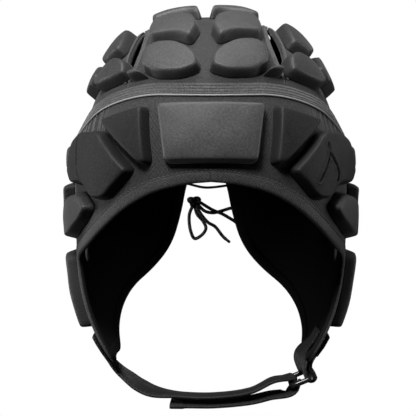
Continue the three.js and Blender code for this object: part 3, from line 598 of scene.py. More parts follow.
class Look:
    """A material written node by node."""

    def __init__(self, name):
        self.material = bpy.data.materials.new(name)
        self.material.use_nodes = True
        self.tree = self.material.node_tree
        self.tree.nodes.clear()

    def node(self, kind, settings=None, inputs=None, output=0):
        """Adds a node with its settings, then the values or links of its inputs."""
        made = self.tree.nodes.new(kind)
        for name, value in (settings or {}).items():
            setattr(made, name, value)
        for key, value in (inputs or {}).items():
            if isinstance(value, Signal):
                self.tree.links.new(value.socket, made.inputs[key])
            else:
                made.inputs[key].default_value = value
        return None if output is None else Signal(self, made.outputs[output])

    def cloth_place(self):
        """Place on the cloth in millimetres, as two signals."""
        uv = self.node("ShaderNodeUVMap", {"uv_map": "cloth"})
        u = self.node("ShaderNodeSeparateXYZ", None, {0: uv}, "X") * 1000.0
        v = self.node("ShaderNodeSeparateXYZ", None, {0: uv}, "Y") * 1000.0
        return u, v

    def mark(self, name):
        return self.node("ShaderNodeAttribute", {"attribute_name": name}, None, "Fac")

    def noise(self, scale, detail=2.0, roughness=0.5):
        place = self.node("ShaderNodeTexCoord", None, None, "Object")
        inputs = {"Vector": place, "Scale": scale, "Detail": detail, "Roughness": roughness}
        return self.node("ShaderNodeTexNoise", None, inputs)

    def mixed(self, share, first, second):
        """A colour between two colours."""
        inputs = {0: share, 6: first, 7: second}
        return self.node("ShaderNodeMix", {"data_type": "RGBA"}, inputs, 2)

    def grain(self):
        """The finest unevenness of a knit."""
        return self.noise(GRAIN_SCALE, 1.0)

    def bump(self, height, depth_mm, strength):
        inputs = {"Height": height, "Distance": depth_mm * MM, "Strength": strength}
        return self.node("ShaderNodeBump", None, inputs)

    def finish(self, colour, roughness, normal, specular, sheen=0.0, sheen_roughness=0.5):
        inputs = {
            "Base Color": colour, "Roughness": roughness, "Normal": normal,
            "Specular IOR Level": specular, "Sheen Weight": sheen,
            "Sheen Roughness": sheen_roughness,
        }
        return self.surface(self.node("ShaderNodeBsdfPrincipled", None, inputs))

    def surface(self, shader):
        self.node("ShaderNodeOutputMaterial", None, {"Surface": shader}, None)
        return self.material


def scaled(colour, factor):
    return (colour[0] * factor, colour[1] * factor, colour[2] * factor, 1.0)


def cells_of(u, v, pitch):
    """Diagonal cells of a knit, from -1 to 1."""
    turn = math.pi / pitch
    return (u * turn).sine() * (v * turn).sine()


def mesh_cloth(name, colour, pitch, lift=1.0):
    """Knitted mesh: diagonal cells with light and dark, mottled, paler on the shoulders from wear
    and a painted highlight, with painted shade on the walls.
    The lift darkens the colour, the shine and the sheen: below 1 it gives a copy with painted shade
    for pads that turn away from the light."""
    look = Look(name)
    u, v = look.cloth_place()
    cells = cells_of(u, v, pitch)
    fine = look.grain()
    patches = look.noise(60.0, 3.0, 0.6)
    wear_and_painted_light = look.mark("shoulder")
    wall = look.mark("wall")
    light = cells * 0.07 + (patches - 0.5) * 0.45 + (fine - 0.5) * 2.0 + 0.45
    # The lift darkens the whole mesh: painted shade on pads that turn away from the light.
    base = look.mixed(light, scaled(colour, 0.6 * lift), scaled(colour, 1.4 * lift))
    # Paler on the shoulders: partly wear, partly a painted highlight where the edge catches the
    # light.
    base = look.mixed(wear_and_painted_light * 0.4, base, scaled(colour, 1.7 * lift))
    # Painted shade: the walls and the underside darkened where shade falls under the shoulder.
    base = look.mixed(wall * 0.6, base, scaled(colour, 0.25))
    normal = look.bump(cells * 0.22 + fine * 1.1, 0.16, 0.8)
    roughness = 0.62 - wear_and_painted_light * 0.16 + (patches - 0.5) * 0.1
    return look.finish(base, roughness, normal, 0.4 * lift, 0.1 * lift, 0.4)


def shell_cloth(name, colour, pitch):
    """Plain stretch knit of the panels, with fine ribs and soft puckers."""
    look = Look(name)
    u, v = look.cloth_place()
    knit = cells_of(u, v, pitch)
    gathers = look.mark("gather")
    ribs = (u * 2.3 + look.noise(45.0) * 3.0).sine()
    fine = look.grain()
    patches = look.noise(70.0, 3.0, 0.6)
    light = knit * 0.14 + (patches - 0.5) * 0.7 + (fine - 0.5) * 2.8 + ribs * gathers * 0.45 + 0.45
    base = look.mixed(light, scaled(colour, 0.6), scaled(colour, 1.4))
    normal = look.bump(knit * 0.5 + fine * 0.5 + ribs * gathers * 2.4, 0.22, 0.8)
    return look.finish(base, 0.72 + (patches - 0.5) * 0.12, normal, 0.3, 0.08, 0.5)


def lining_cloth(name, colour):
    """Dull dark cloth against the head."""
    look = Look(name)
    fine = look.noise(1200.0, 2.0)
    base = look.mixed(fine, scaled(colour, 0.7), scaled(colour, 1.4))
    normal = look.bump(fine, 0.15, 0.6)
    return look.finish(base, 0.9 - fine * 0.08, normal, 0.12)


def tape_cloth(name, colour, rib_pitch, gloss):
    """Elastic tape: lengthwise ribs crossed by fine stitches, with a satin streak that is a painted
    highlight in the colour, and glossier there.
    """
    look = Look(name)
    u, v = look.cloth_place()
    ribs = (v * (2 * math.pi / rib_pitch)).sine()
    cross = (u * (2 * math.pi / 0.9)).sine()
    fine = look.grain()
    gloss_and_painted_sheen = look.mark("stretch")
    light = ribs * 0.16 + cross * 0.24 + (fine - 0.5) * 2.4 + 0.5
    base = look.mixed(light, scaled(colour, 0.5), scaled(colour, 1.6))
    # Painted highlight: the tape paler at the sides, where it catches the light.
    base = look.mixed(gloss_and_painted_sheen * (light * 0.7 + 0.3), base, scaled(colour, 2.0))
    normal = look.bump(ribs * 0.7 + cross * 0.4 + fine * 0.5, 0.3, 0.8)
    roughness = 0.55 - gloss_and_painted_sheen * gloss + (fine - 0.5) * 0.1
    return look.finish(base, roughness, normal, 0.4, 0.12, 0.35)


def webbing_cloth(name, colour):
    """Woven webbing: fine twill with the two rows of stitches pressed in."""
    look = Look(name)
    u, v = look.cloth_place()
    twill = ((u * 1.1 + v * 2.6) * 2.2).sine()
    weft = (u * 4.4).sine()
    fine = look.noise(800.0, 1.0)
    patches = look.noise(80.0, 2.0)
    rows = 1 - (v.size() - SEAM_PLACE).size().between(0.15, 0.5)
    pricks = (u * 2.4).sine().between(-0.2, 0.6) * rows
    # A wavy raised ridge along the strap, painted paler on its crest as a highlight.
    ridge = 1 - (v - 3.0 + look.noise(30.0) * 4.0 - 2.0).size().between(0.3, 1.3)
    light = twill * 0.2 + (fine - 0.5) * 2.4 + (patches - 0.5) * 0.7 + ridge * 0.55 + 0.4
    base = look.mixed(light, scaled(colour, 0.5), scaled(colour, 1.5))
    base = look.mixed(pricks * 0.6, base, scaled(colour, 2.4))
    height = twill * 0.4 + weft * 0.2 + fine * 0.8 + ridge * 1.5 - rows * 1.2
    normal = look.bump(height, 0.25, 0.8)
    return look.finish(base, 0.6 + (patches - 0.5) * 0.15, normal, 0.35, 0.06, 0.4)


def cord_braid(name, colour):
    """Round braided cord: two sets of strands that cross."""
    look = Look(name)
    u, v = look.cloth_place()
    braid = ((v + u * 0.9) * 3.6).sine() * ((v - u * 0.9) * 3.6).sine()
    fine = look.noise(1500.0, 1.0)
    light = braid * 0.4 + (fine - 0.5) * 0.5 + 0.5
    base = look.mixed(light, scaled(colour, 0.5), scaled(colour, 1.8))
    normal = look.bump(braid + fine * 0.4, 0.2, 0.9)
    return look.finish(base, 0.42 + fine * 0.1, normal, 0.6)


def moulded_plastic(name, colour):
    """Smooth plastic with a faint grain and scuffs."""
    look = Look(name)
    grain = look.noise(900.0, 2.0)
    scuffs = look.noise(120.0, 4.0, 0.7)
    base = look.mixed(scuffs, scaled(colour, 0.8), scaled(colour, 1.3))
    normal = look.bump(grain, 0.03, 0.4)
    return look.finish(base, 0.2 + scuffs * 0.15, normal, 0.6)


def thread(name, colour):
    """Sewing thread and thin cord."""
    look = Look(name)
    fine = look.noise(1800.0, 1.0)
    base = look.mixed(fine, scaled(colour, 0.6), scaled(colour, 1.5))
    return look.finish(base, 0.5 + fine * 0.1, look.bump(fine, 0.05, 0.5), 0.4)


LOOKS = {}


def settle(piece, slot, *nodes):
    """Ties a piece to the frame."""
    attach(piece, "root")
    if nodes:
        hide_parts(*nodes)


# Settings

def colour_setting(name, description, default):
    return FloatVectorProperty(
        name=name, description=description, default=default, subtype="COLOR", min=0, max=1,
    )


def size_setting(name, description, default, lowest):
    return FloatProperty(name=name, description=description, default=default, min=lowest)


def power_setting(name, description, default):
    return FloatProperty(
        name=name, description=description, default=default, min=0, subtype="POWER",
    )


class CapColours(PropertyGroup):
    """Colours of the cap's cloths and fittings."""

    pads: colour_setting("Pads", "Mesh over the foam pads", (0.036, 0.036, 0.0365))
    panels: colour_setting("Panels", "Stretch cloth between the pads", (0.022, 0.022, 0.0225))
    lining: colour_setting("Lining", "Cloth against the head", (0.006, 0.006, 0.006))
    tape: colour_setting("Headband", "Elastic tape round the head", (0.048, 0.048, 0.049))
    piping: colour_setting("Piping", "Thin cord on the headband's edge", (0.22, 0.22, 0.222))
    webbing: colour_setting("Strap", "Chin strap webbing", (0.0085, 0.0085, 0.0087))
    laces: colour_setting("Laces", "Cord at the back", (0.008, 0.008, 0.008))
    loop: colour_setting("Loop", "Plastic loop of the chin strap", (0.012, 0.012, 0.012))
    thread: colour_setting("Thread", "Stitches", (0.05, 0.05, 0.052))


class CapSizes(PropertyGroup):
    """Sizes of the cap's soft detail, in millimetres unless said."""

    mesh_pitch: size_setting("Mesh pitch", "Size of a cell of the pads' mesh", 0.8, 0.5)
    knit_pitch: size_setting("Knit pitch", "Size of a cell of the panels' knit", 1.1, 0.4)
    pad_height: size_setting("Pad height", "Height of a pad over the fabric", 8.0, 2)
    low_pad_height: size_setting("Low pad height", "Height of the pads over the ears", 5.5, 2)
    pad_shoulder: size_setting("Pad shoulder", "Width of a pad's wall and shoulder", 2.4, 1)
    pad_crown: size_setting("Pad crown", "Rise of a pad's middle", 0.7, 0)
    corner_round: size_setting("Pad corners", "Length taken up by each rounded corner", 5.0, 1)
    crease_depth: size_setting("Crease depth", "Depth of the temple pads' creases", 1.1, 0)
    stitch_length: size_setting("Stitch length", "Length of one leg of the zigzag", 2.1, 0.8)
    hem_stitch_place: size_setting("Hem stitches", "From the edge in to the zigzag", 2.1, 0)
    shell_columns: IntProperty(
        name="Shell columns", description="Columns of the lower panel's mesh", default=600,
        min=120,
    )


class StageSettings(PropertyGroup):
    """Camera and lights."""

    distance: FloatProperty(
        name="Camera distance", description="From the cap's middle", default=1.2, min=0.5,
        unit="LENGTH",
    )
    elevation: size_setting("Camera height", "Degrees over the horizon", 5.0, -90)
    lens: size_setting("Lens", "Focal length on a 36 mm sensor", 159.03, 20)
    top_light: power_setting("Top light", "Power of the overhead softbox", 13.0)
    front_light: power_setting("Front light", "Power of the high front softbox", 42.0)
    side_light: power_setting("Side lights", "Power of the stronger side strip", 7.5)
    room_light: size_setting("Room light", "Strength of the dim light all round", 0.02, 0)


# Pieces

PAD_SUNK = 0.35
PAD_UNDER = 0.5
PAD_STEPS = [0, 0.5, 1.1, 1.6, 2.0, 2.4, 2.8, 3.3, 4.0, 5.0]
SHOULDER_SHARPNESS = 6
CREASE_WIDTH = 0.65
CREASE_LIP = (1.8, 0.9, 0.3)
# Wedge and temple pads get the darkest copy of the mesh, as painted shade.
DARK_PADS = ("wedge", "temple")


def pad_outline(corners, corner_round, spacing):
    """A flat outline with rounded corners and evenly spaced points."""
    t = np.linspace(0, 1, 9)[:, None]
    found = []
    behind, ahead = np.roll(corners, 1, axis=0), np.roll(corners, -1, axis=0)
    for before, here, after in zip(behind, corners, ahead):
        back, on = before - here, after - here
        a = here + unit(back) * min(corner_round, np.linalg.norm(back) * 0.42)
        b = here + unit(on) * min(corner_round, np.linalg.norm(on) * 0.42)
        found.append((1 - t) ** 2 * a + 2 * t * (1 - t) * here + t**2 * b)
    line = np.vstack(found)
    around = length_of(np.vstack([line, line[:1]]))
    return evenly(line, int(np.clip(around / spacing, 36, 240)), closed=True)


def pad_plane(corners):
    """Origin and axes of a pad's own plane, and its corners in that plane."""
    middle = corners.mean(axis=0)
    out = normal_at(middle)
    origin = dropped_on(middle[None], out)[0]
    across = unit(np.cross([0, 0, 1.0], out))
    plane = np.stack([across, np.cross(out, across)])
    flat = (corners - origin) @ plane.T
    area = np.sum(flat[:, 0] * np.roll(flat[:, 1], -1) - np.roll(flat[:, 0], -1) * flat[:, 1])
    return origin, plane, out, flat if area > 0 else flat[::-1]


def pad_rings(outline, inner_rings):
    """Rings from the outline in to the middle: close ones on the wall, then even ones."""
    middle = outline.mean(axis=0)
    spokes = middle - outline
    tangent = unit(np.roll(outline, -1, axis=0) - np.roll(outline, 1, axis=0))
    inward = np.stack([-tangent[:, 1], tangent[:, 0]], -1)
    lean = np.maximum(0.45, np.sum(unit(spokes) * inward, axis=1))
    reach = np.linalg.norm(spokes, axis=1) * lean
    most = [0] + [0.06 * k + 0.02 for k in range(1, len(PAD_STEPS))]
    shares = [np.minimum(step / reach, limit) for step, limit in zip(PAD_STEPS, most)]
    last = shares[-1]
    shares += [last + (1 - last) * t for t in np.linspace(0, 1, inner_rings + 1)[1:-1]]
    return [outline + spokes * share[:, None] for share in shares], middle


def soft_waves(points, seed):
    """Gentle unevenness of foam: a few waves in random directions."""
    waves = np.random.default_rng(seed)
    uneven = np.zeros(len(points))
    for _ in range(5):
        direction = waves.normal(size=2)
        direction *= waves.uniform(0.12, 0.38) / np.linalg.norm(direction)
        uneven += np.sin(points @ direction + waves.uniform(0, 6.28))
    return uneven * 0.07


def build_pad(name, corners, height, sizes, creases, seed, look):
    """A foam pad: a steep wall, a rounded shoulder, a low crown and soft unevenness."""
    origin, plane, out, flat = pad_plane(corners)
    spacing, inner_rings = (0.75, 30) if creases else (1.25, 10)
    outline = pad_outline(flat, sizes.corner_round, spacing)
    rings, middle = pad_rings(outline, inner_rings)
    flat_points = np.vstack([*rings, middle[None]])
    from_edge = distance_to_line(flat_points, outline, closed=True)
    deepest = from_edge.max()
    shoulder = min(sizes.pad_shoulder, deepest * 0.5)
    reached = from_edge / shoulder
    rise = reached / (1 + reached**SHOULDER_SHARPNESS) ** (1 / SHOULDER_SHARPNESS)
    crown = sizes.pad_crown * (1 - (1 - np.minimum(from_edge / max(deepest, 1), 1)) ** 2)
    heights = height * rise - PAD_SUNK + (crown + soft_waves(flat_points, seed)) * rise
    for line in creases:
        off = distance_to_line(flat_points, (line - origin) @ plane.T)
        place, width, share = CREASE_LIP
        lip = share * np.exp(-(((off - place) / width) ** 2))
        heights += sizes.crease_depth * (lip - np.exp(-((off / CREASE_WIDTH) ** 2))) * rise
    surface = dropped_on(origin + flat_points @ plane, out)
    count = len(outline)
    half_way = (outline + middle) / 2
    ring_under = lifted(dropped_on(origin + half_way @ plane, out), -PAD_UNDER)
    points = np.vstack([lifted(surface, heights), ring_under, lifted(surface[-1:], -PAD_UNDER)])
    centre = len(rings) * count
    tip, low = centre - count, centre + 1
    faces = ring_faces(len(rings), count)
    for k in range(count):
        beside = (k + 1) % count
        faces.append((tip + k, tip + beside, centre))
        faces.append((k, low + k, low + beside, beside))
        faces.append((low + k, low + count, low + beside))
    uv = np.vstack([flat_points, half_way, middle[None]])
    # Shoulder mark: wear and a painted highlight just inside the top of the wall.
    rubbed_and_painted_highlight = np.exp(-(((from_edge - shoulder * 1.15) / (0.34 * shoulder)) ** 2))
    under = np.ones(count + 1)
    marks = {
        "shoulder": np.concatenate([rubbed_and_painted_highlight, under * 0]),
        # Wall mark: painted shade on the wall and under the pad.
        "wall": np.concatenate([1 - smoothstep(reached, 0.45, 1.0), under]),
    }
    piece = make_piece(
        f"foam_pad_{name}", points, facing_out(points, faces), uv, marks, [LOOKS[look]],
    )
    settle(piece, "pad_fabric", f"pad_{name}")


def build_family(table, place, sizes, seed, look, middle_only=False):
    """All pads of one table, on both sides of the cap."""
    for number, (name, corners) in enumerate(table.items()):
        height = sizes.low_pad_height if name.startswith("over_ear") else sizes.pad_height
        # Wedge and temple pads take the darkest copy of the mesh, painted shade where less light
        # falls.
        wear_and_painted_light = "temple_pads" if name in DARK_PADS else look
        sides, rises = np.array(corners, float).T
        for word, hand in HANDS[:1] if middle_only else HANDS:
            full = name if middle_only else f"{name}_{word}"
            lines = TEMPLE_CREASES.get(full, [])
            creases = [ring_point(*np.array(line, float).T) for line in lines]
            creases = [smooth_curve(line, 24) for line in creases]
            own_seed = seed + number * 2 + (hand < 0)
            build_pad(full, place(hand * sides, rises), height, sizes, creases, own_seed, wear_and_painted_light)


# Stage, in metres, and the backdrop in millimetres
AIM = (0, 0, -0.1215)
FRAME_PIXELS = 416
BACKDROP_RADIUS = 6000
FLOOR_HALF = 2500
FLOOR_LEVEL = -420


class SCRUMCAP_OT_stage(Operator):
    """Camera, lights and a plain pale floor and backdrop"""

    bl_idname = "scrumcap.stage"
    bl_label = "Stage"

    def execute(self, context):
        scene = context.scene
        stage = scene.scrumcap_stage
        scene.view_settings.view_transform = "Standard"
        self.camera(scene, stage)
        self.backdrop()
        self.light("top_softbox", (0, -0.1, 1.0), (0, -0.02, -0.05), (0.9, 0.8), stage.top_light)
        self.light("front_softbox", (-0.45, -1.2, 1.15), AIM, (0.45, 0.45), stage.front_light)
        self.light("left_strip", (1.05, 0.1, -0.1), AIM, (0.3, 1.0), stage.side_light * 0.6)
        self.light("right_strip", (-1.05, 0.1, -0.1), AIM, (0.3, 1.0), stage.side_light)
        world = bpy.data.worlds.new("dim room")
        world.use_nodes = True
        sky = world.node_tree.nodes["Background"]
        sky.inputs["Color"].default_value = (1, 1, 1, 1)
        sky.inputs["Strength"].default_value = stage.room_light
        scene.world = world
        return {"FINISHED"}

    def camera(self, scene, stage):
        """The photograph's camera, nudged by whole pixels of its frame."""
        data = bpy.data.cameras.new("camera")
        data.lens = stage.lens
        data.sensor_width = 36
        data.shift_x = -3 / FRAME_PIXELS
        data.shift_y = 1 / FRAME_PIXELS
        data.clip_start = 0.05
        data.clip_end = 20
        rise = math.radians(stage.elevation)
        place = Vector((0, -math.cos(rise), math.sin(rise))) * stage.distance + Vector(AIM)
        scene.camera = self.pointed("camera", data, place, AIM)

    def backdrop(self):
        """A white room and floor that the camera sees and that light nothing."""
        look = Look("white backdrop")
        inputs = {"Color": (1, 1, 1, 1), "Strength": 1.0}
        look.surface(look.node("ShaderNodeEmission", None, inputs))
        rings = [
            np.hstack([circle(64) * math.cos(a), np.full((64, 1), math.sin(a))])
            for a in np.linspace(-1.55, 1.55, 24)
        ]
        dome = np.vstack(rings) * BACKDROP_RADIUS
        square = np.array([[-1, -1, 0], [1, -1, 0], [1, 1, 0], [-1, 1, 0]])
        corners = square * FLOOR_HALF + [0, 0, FLOOR_LEVEL]
        room = make_piece("backdrop", dome, ring_faces(24, 64), looks=[look.material])
        floor = make_piece("floor", corners, [(0, 1, 2, 3)], looks=[look.material])
        for piece in (room, floor):
            piece.visible_diffuse = False
            piece.visible_glossy = False
            piece.visible_transmission = False
            piece.visible_shadow = False

    def light(self, name, place, target, size, power):
        data = bpy.data.lights.new(name, "AREA")
        data.shape = "RECTANGLE"
        data.size, data.size_y = size
        data.energy = power
        self.pointed(name, data, place, target)

    def pointed(self, name, data, place, target):
        """A camera or lamp at a place, turned to a target."""
        made = bpy.data.objects.new(name, data)
        made.location = place
        away = Vector(target) - Vector(place)
        made.rotation_euler = away.to_track_quat("-Z", "Y").to_euler()
        bpy.context.scene.collection.objects.link(made)
        return made


def knot_end(x, y, z):
    """Where a strand goes into the knot."""
    d = unit(np.array([x, y, z], float))
    return KNOT_CENTRE + d * (0.5 / np.linalg.norm(d / KNOT_SIZE) - KNOT_OVERLAP)


def lace_eye(hand, azimuth, height):
    """Where a lace lies on the hem."""
    lift = BINDING_LIP + CLEARANCE + LACE_DIAMETER / 2
    return lifted(ring_point(hand * azimuth, height), lift)


def lace_routes():
    """Each lace's route, in millimetres, from where it leaves the cap or the knot."""
    elastic = [
        lace_eye(-1, 167, -0.14), lace_eye(-1, 170.5, -0.145), [-4, 104, -115.3],
        lace_eye(1, 170.5, -0.15), lace_eye(1, 167, -0.148),
    ]
    crossing = [
        knot_end(1, 0, -0.12), [1.4, 104, -131.4], [7.8, 104, -134], [15.6, 103.4, -138.5],
        lace_eye(1, 167, -0.395), lace_eye(1, 164.6, -0.345), lace_eye(1, 167, -0.295),
        [14.9, 104.8, -130], [7.8, 106.8, -132.1], [1.4, 107.3, -133.6], [-4.5, 107.3, -132.3],
        knot_end(0.72, 0.5, -0.6),
    ]
    bow = [
        knot_end(-0.35, 0.2, -1), [-15.4, 105.5, -135], [-14.5, 106, -146.4],
        [-11.6, 106, -151.9], [-5.7, 105.5, -148.5], [-3.6, 105, -144.2], [-5.7, 104.8, -139.3],
        [-9.8, 104.2, -134.4], knot_end(0.12, -0.12, -1),
    ]
    end = [
        knot_end(0.55, -0.55, -0.8), [-7.9, 101.8, -132.8], [-2.1, 101.4, -139.9],
        [2.8, 101.2, -142.8], [8.5, 101.2, -149.9], [13.5, 101.2, -154.2],
    ]
    return {
        "lace_upper": (elastic, ELASTIC_DIAMETER, "object", "taut"),
        "lace_crossing": (crossing, LACE_DIAMETER, "object", "loose"),
        "lace_bow": (bow, LACE_DIAMETER, "object", "hanging"),
        "lace_end": (end, LACE_DIAMETER, "bare", "hanging"),
    }


class SCRUMCAP_OT_laces(Operator):
    """Braided laces at the back, their knot, bow and loose end"""

    bl_idname = "scrumcap.laces"
    bl_label = "Laces"

    def execute(self, context):
        knot = self.knot()
        for node, (route, diameter, far_end, lay) in lace_routes().items():
            line = smooth_curve(route, 140)
            thick = np.full(len(line), diameter / 2)
            if far_end == "bare":
                thick[-14:] *= 0.86
                thick[-2:] *= 0.8
            sections, uv = tube(line, thick)
            points, faces = sweep(sections)
            piece = make_piece(f"{node}_braid", points, faces, uv, looks=[LOOKS["laces"]])
            settle(piece, "cord", node)
            diameter * MM
            [knot] if node == "lace_crossing" else []
        return {"FINISHED"}

    def knot(self):
        """The lace wound through itself, inside the room that the plain knot takes."""
        t = np.linspace(0, 2 * np.pi, 181)[:-1]
        shape = np.stack([
            np.sin(t) + 2 * np.sin(2 * t), np.cos(t) - 2 * np.cos(2 * t), -np.sin(3 * t) * 1.3,
        ], -1)
        room = (KNOT_SIZE - LACE_DIAMETER) / 2
        line = KNOT_CENTRE + shape[:, [0, 2, 1]] / np.array([2.9, 1.3, 2.9]) * room * 1.06
        closed = np.vstack([line, line[:1]])
        sections, uv = tube(closed, LACE_DIAMETER / 2 * 1.1)
        points, faces = sweep(sections)
        piece = make_piece("lace_knot_braid", points, faces, uv, looks=[LOOKS["laces"]])
        settle(piece, "cord", "lace_knot")
        return piece


END_ROWS = 5
VENT_TAPE = np.array([
    [-0.2, -0.3], [0.1, 0.35], [0.5, 0.62], [0.9, 0.5], [1.6, 0.4], [2.3, 0.5], [2.7, 0.62],
    [3.1, 0.35], [3.4, -0.3],
])


def vent_edge(hand, bank, over):
    """Side angle of a vent's edge: bank -1 is the crown's edge and 1 the side panel's."""
    half = soft_table(VENT_HALF_WIDTH, over, 2.5) / MM_PER_DEGREE + 0.1
    return hand * (soft_table(CROWN_EDGE, over, 4.0) + bank * half) + CROWN_SHIFT


def crown_end(side, at_back):
    """Angle over the top at which the crown meets the headband."""
    over = np.full_like(side, 160.0 if at_back else 34.0)
    for _ in range(10):
        rise = band_height(azimuth_of(crown_direction(side, over))) * 90
        height = np.sin(np.radians(rise)) / np.cos(np.radians(side))
        over = np.degrees(np.arcsin(np.minimum(1, height)))
        if at_back:
            over = 180 - over
    return over


class SCRUMCAP_OT_panels(Operator):
    """Stretch cloth of the crown and of the upper sides, with the folded edges of the vents"""

    bl_idname = "scrumcap.panels"
    bl_label = "Crown and side panels"

    def execute(self, context):
        self.crown()
        for word, hand in HANDS:
            self.side(word, hand)
            self.vent_trim(word, hand)
        return {"FINISHED"}

    def crown(self):
        overs = np.linspace(VENT_FRONT, VENT_REAR, 150)
        across = np.linspace(0, 1, 72)[:, None]
        sides = (1 - across) * vent_edge(-1, -1, overs) + across * vent_edge(1, -1, overs)
        front = crown_end(sides[:, :1], False)
        rear = crown_end(sides[:, -1:], True)
        ahead = np.arange(END_ROWS)[None] / END_ROWS
        behind = ahead + 1 / END_ROWS
        overs = np.hstack([
            front * (1 - ahead) + VENT_FRONT * ahead,
            np.broadcast_to(overs, sides.shape),
            VENT_REAR * (1 - behind) + rear * behind,
        ])
        sides = np.hstack([
            np.repeat(sides[:, :1], END_ROWS, axis=1), sides,
            np.repeat(sides[:, -1:], END_ROWS, axis=1),
        ])
        self.cloth("crown_cloth", crown_point(sides, overs), sides, overs, "crown_panel")

    def side(self, word, hand):
        overs = np.linspace(VENT_FRONT, VENT_REAR, 150)
        top_side = vent_edge(hand, 1, overs)
        ends = []
        for side, at_back in ((top_side[:1], False), (top_side[-1:], True)):
            d = crown_direction(side, crown_end(side, at_back))
            ends.append(abs(azimuth_of(d)[0]))
        azimuths = hand * np.linspace(*ends, len(overs))
        top = crown_direction(top_side, overs)
        low = aimed_at(azimuths, band_height(azimuths) * 90)
        down = np.linspace(0, 1, 56)[None, :, None]
        d = unit(top[:, None] * (1 - down) + low[:, None] * down)
        node = f"side_panel_{word}"
        self.cloth(f"side_cloth_{word}", from_middle(d), azimuth_of(d), rise_of(d), node)

    def cloth(self, name, outer, u, v, node):
        """Cloth over a grid of points."""
        columns, rows = outer.shape[:2]
        layer = ring_faces(columns, rows, closed_round=False)
        faces, linings = two_layers(layer, columns * rows)
        points = np.vstack([outer.reshape(-1, 3), lifted(outer, -FABRIC).reshape(-1, 3)])
        uv = np.stack([u, v], -1).reshape(-1, 2) * MM_PER_DEGREE
        looks = [LOOKS["panels"], LOOKS["lining"]]
        uv = np.vstack([uv, uv])
        piece = make_piece(name, points, faces, uv, looks=looks, look_of_face=linings)
        settle(piece, "shell_fabric", node)
        a = outer[1:, :-1] - outer[:-1, :-1]
        b = outer[:-1, 1:] - outer[:-1, :-1]

    def vent_trim(self, word, hand):
        """Folded tape along both edges of a vent, with a fine ridge on each side."""
        overs = np.linspace(VENT_FRONT + 1.5, VENT_TAPE_REAR, 190)
        parts = []
        for bank, width in ((-1, 1.0), (1, 0.62)):
            side = vent_edge(hand, bank, overs)
            line = crown_point(side, overs)
            into = unit(crown_point(side + hand * bank, overs) - line)
            sections = stations(line, into, normal_at(line), VENT_TAPE * [width, 1])
            points, faces = sweep(sections)
            uv = cloth_places(travelled(line), VENT_TAPE[:, 0], sections.shape[:2])
            parts.append((points, faces, uv))
        points, faces, uv = joined(parts)
        piece = make_piece(f"vent_edge_tape_{word}", points, faces, uv, looks=[LOOKS["vent_tape"]])
        settle(piece, "trim_tape")


# Lower panel: its flat chart, its cut and the gathers, in millimetres and degrees
CHART_SCALE = np.array([RING_MM_PER_DEGREE, FLAP_DROP])
SHELL_ROWS = 104
LOWEST_ROW = -1.02
GATHER_MM = 130
GATHER_DEPTH = 0.42
GATHER_SIDES = ((40, 52), (118, 132))
GATHER_REACH = ((0, 3), (9, 26))


def signed(azimuth):
    """Azimuths from 0 to 360 as -180 to 180."""
    return np.where(azimuth > 180, azimuth - 360, azimuth)


def joined(parts):
    """Several closed skins as one set of points, faces and cloth places."""
    faces, start = [], 0
    for points, own_faces, _ in parts:
        faces += [tuple(start + k for k in face) for face in own_faces]
        start += len(points)
    return np.vstack([part[0] for part in parts]), faces, np.vstack([part[2] for part in parts])


def inside_line(points, line):
    """Whether flat points lie inside a closed line."""
    inside = np.zeros(len(points), bool)
    for (ax, ay), (bx, by) in zip(line, np.roll(line, -1, axis=0)):
        if abs(by - ay) > 1e-12:
            at = ax + (points[:, 1] - ay) / (by - ay) * (bx - ax)
            inside ^= ((ay > points[:, 1]) != (by > points[:, 1])) & (points[:, 0] < at)
    return inside


def nearest_on(points, line):
    """The nearest point of a line to each flat point."""
    best = np.full(len(points), 1e18)
    found = points.copy()
    for a, b in zip(line, line[1:]):
        along = b - a
        share = np.clip(((points - a) @ along) / max(along @ along, 1e-12), 0, 1)
        place = a + share[:, None] * along
        far = ((points - place) ** 2).sum(axis=1)
        closer = far < best
        best[closer] = far[closer]
        found[closer] = place[closer]
    return found


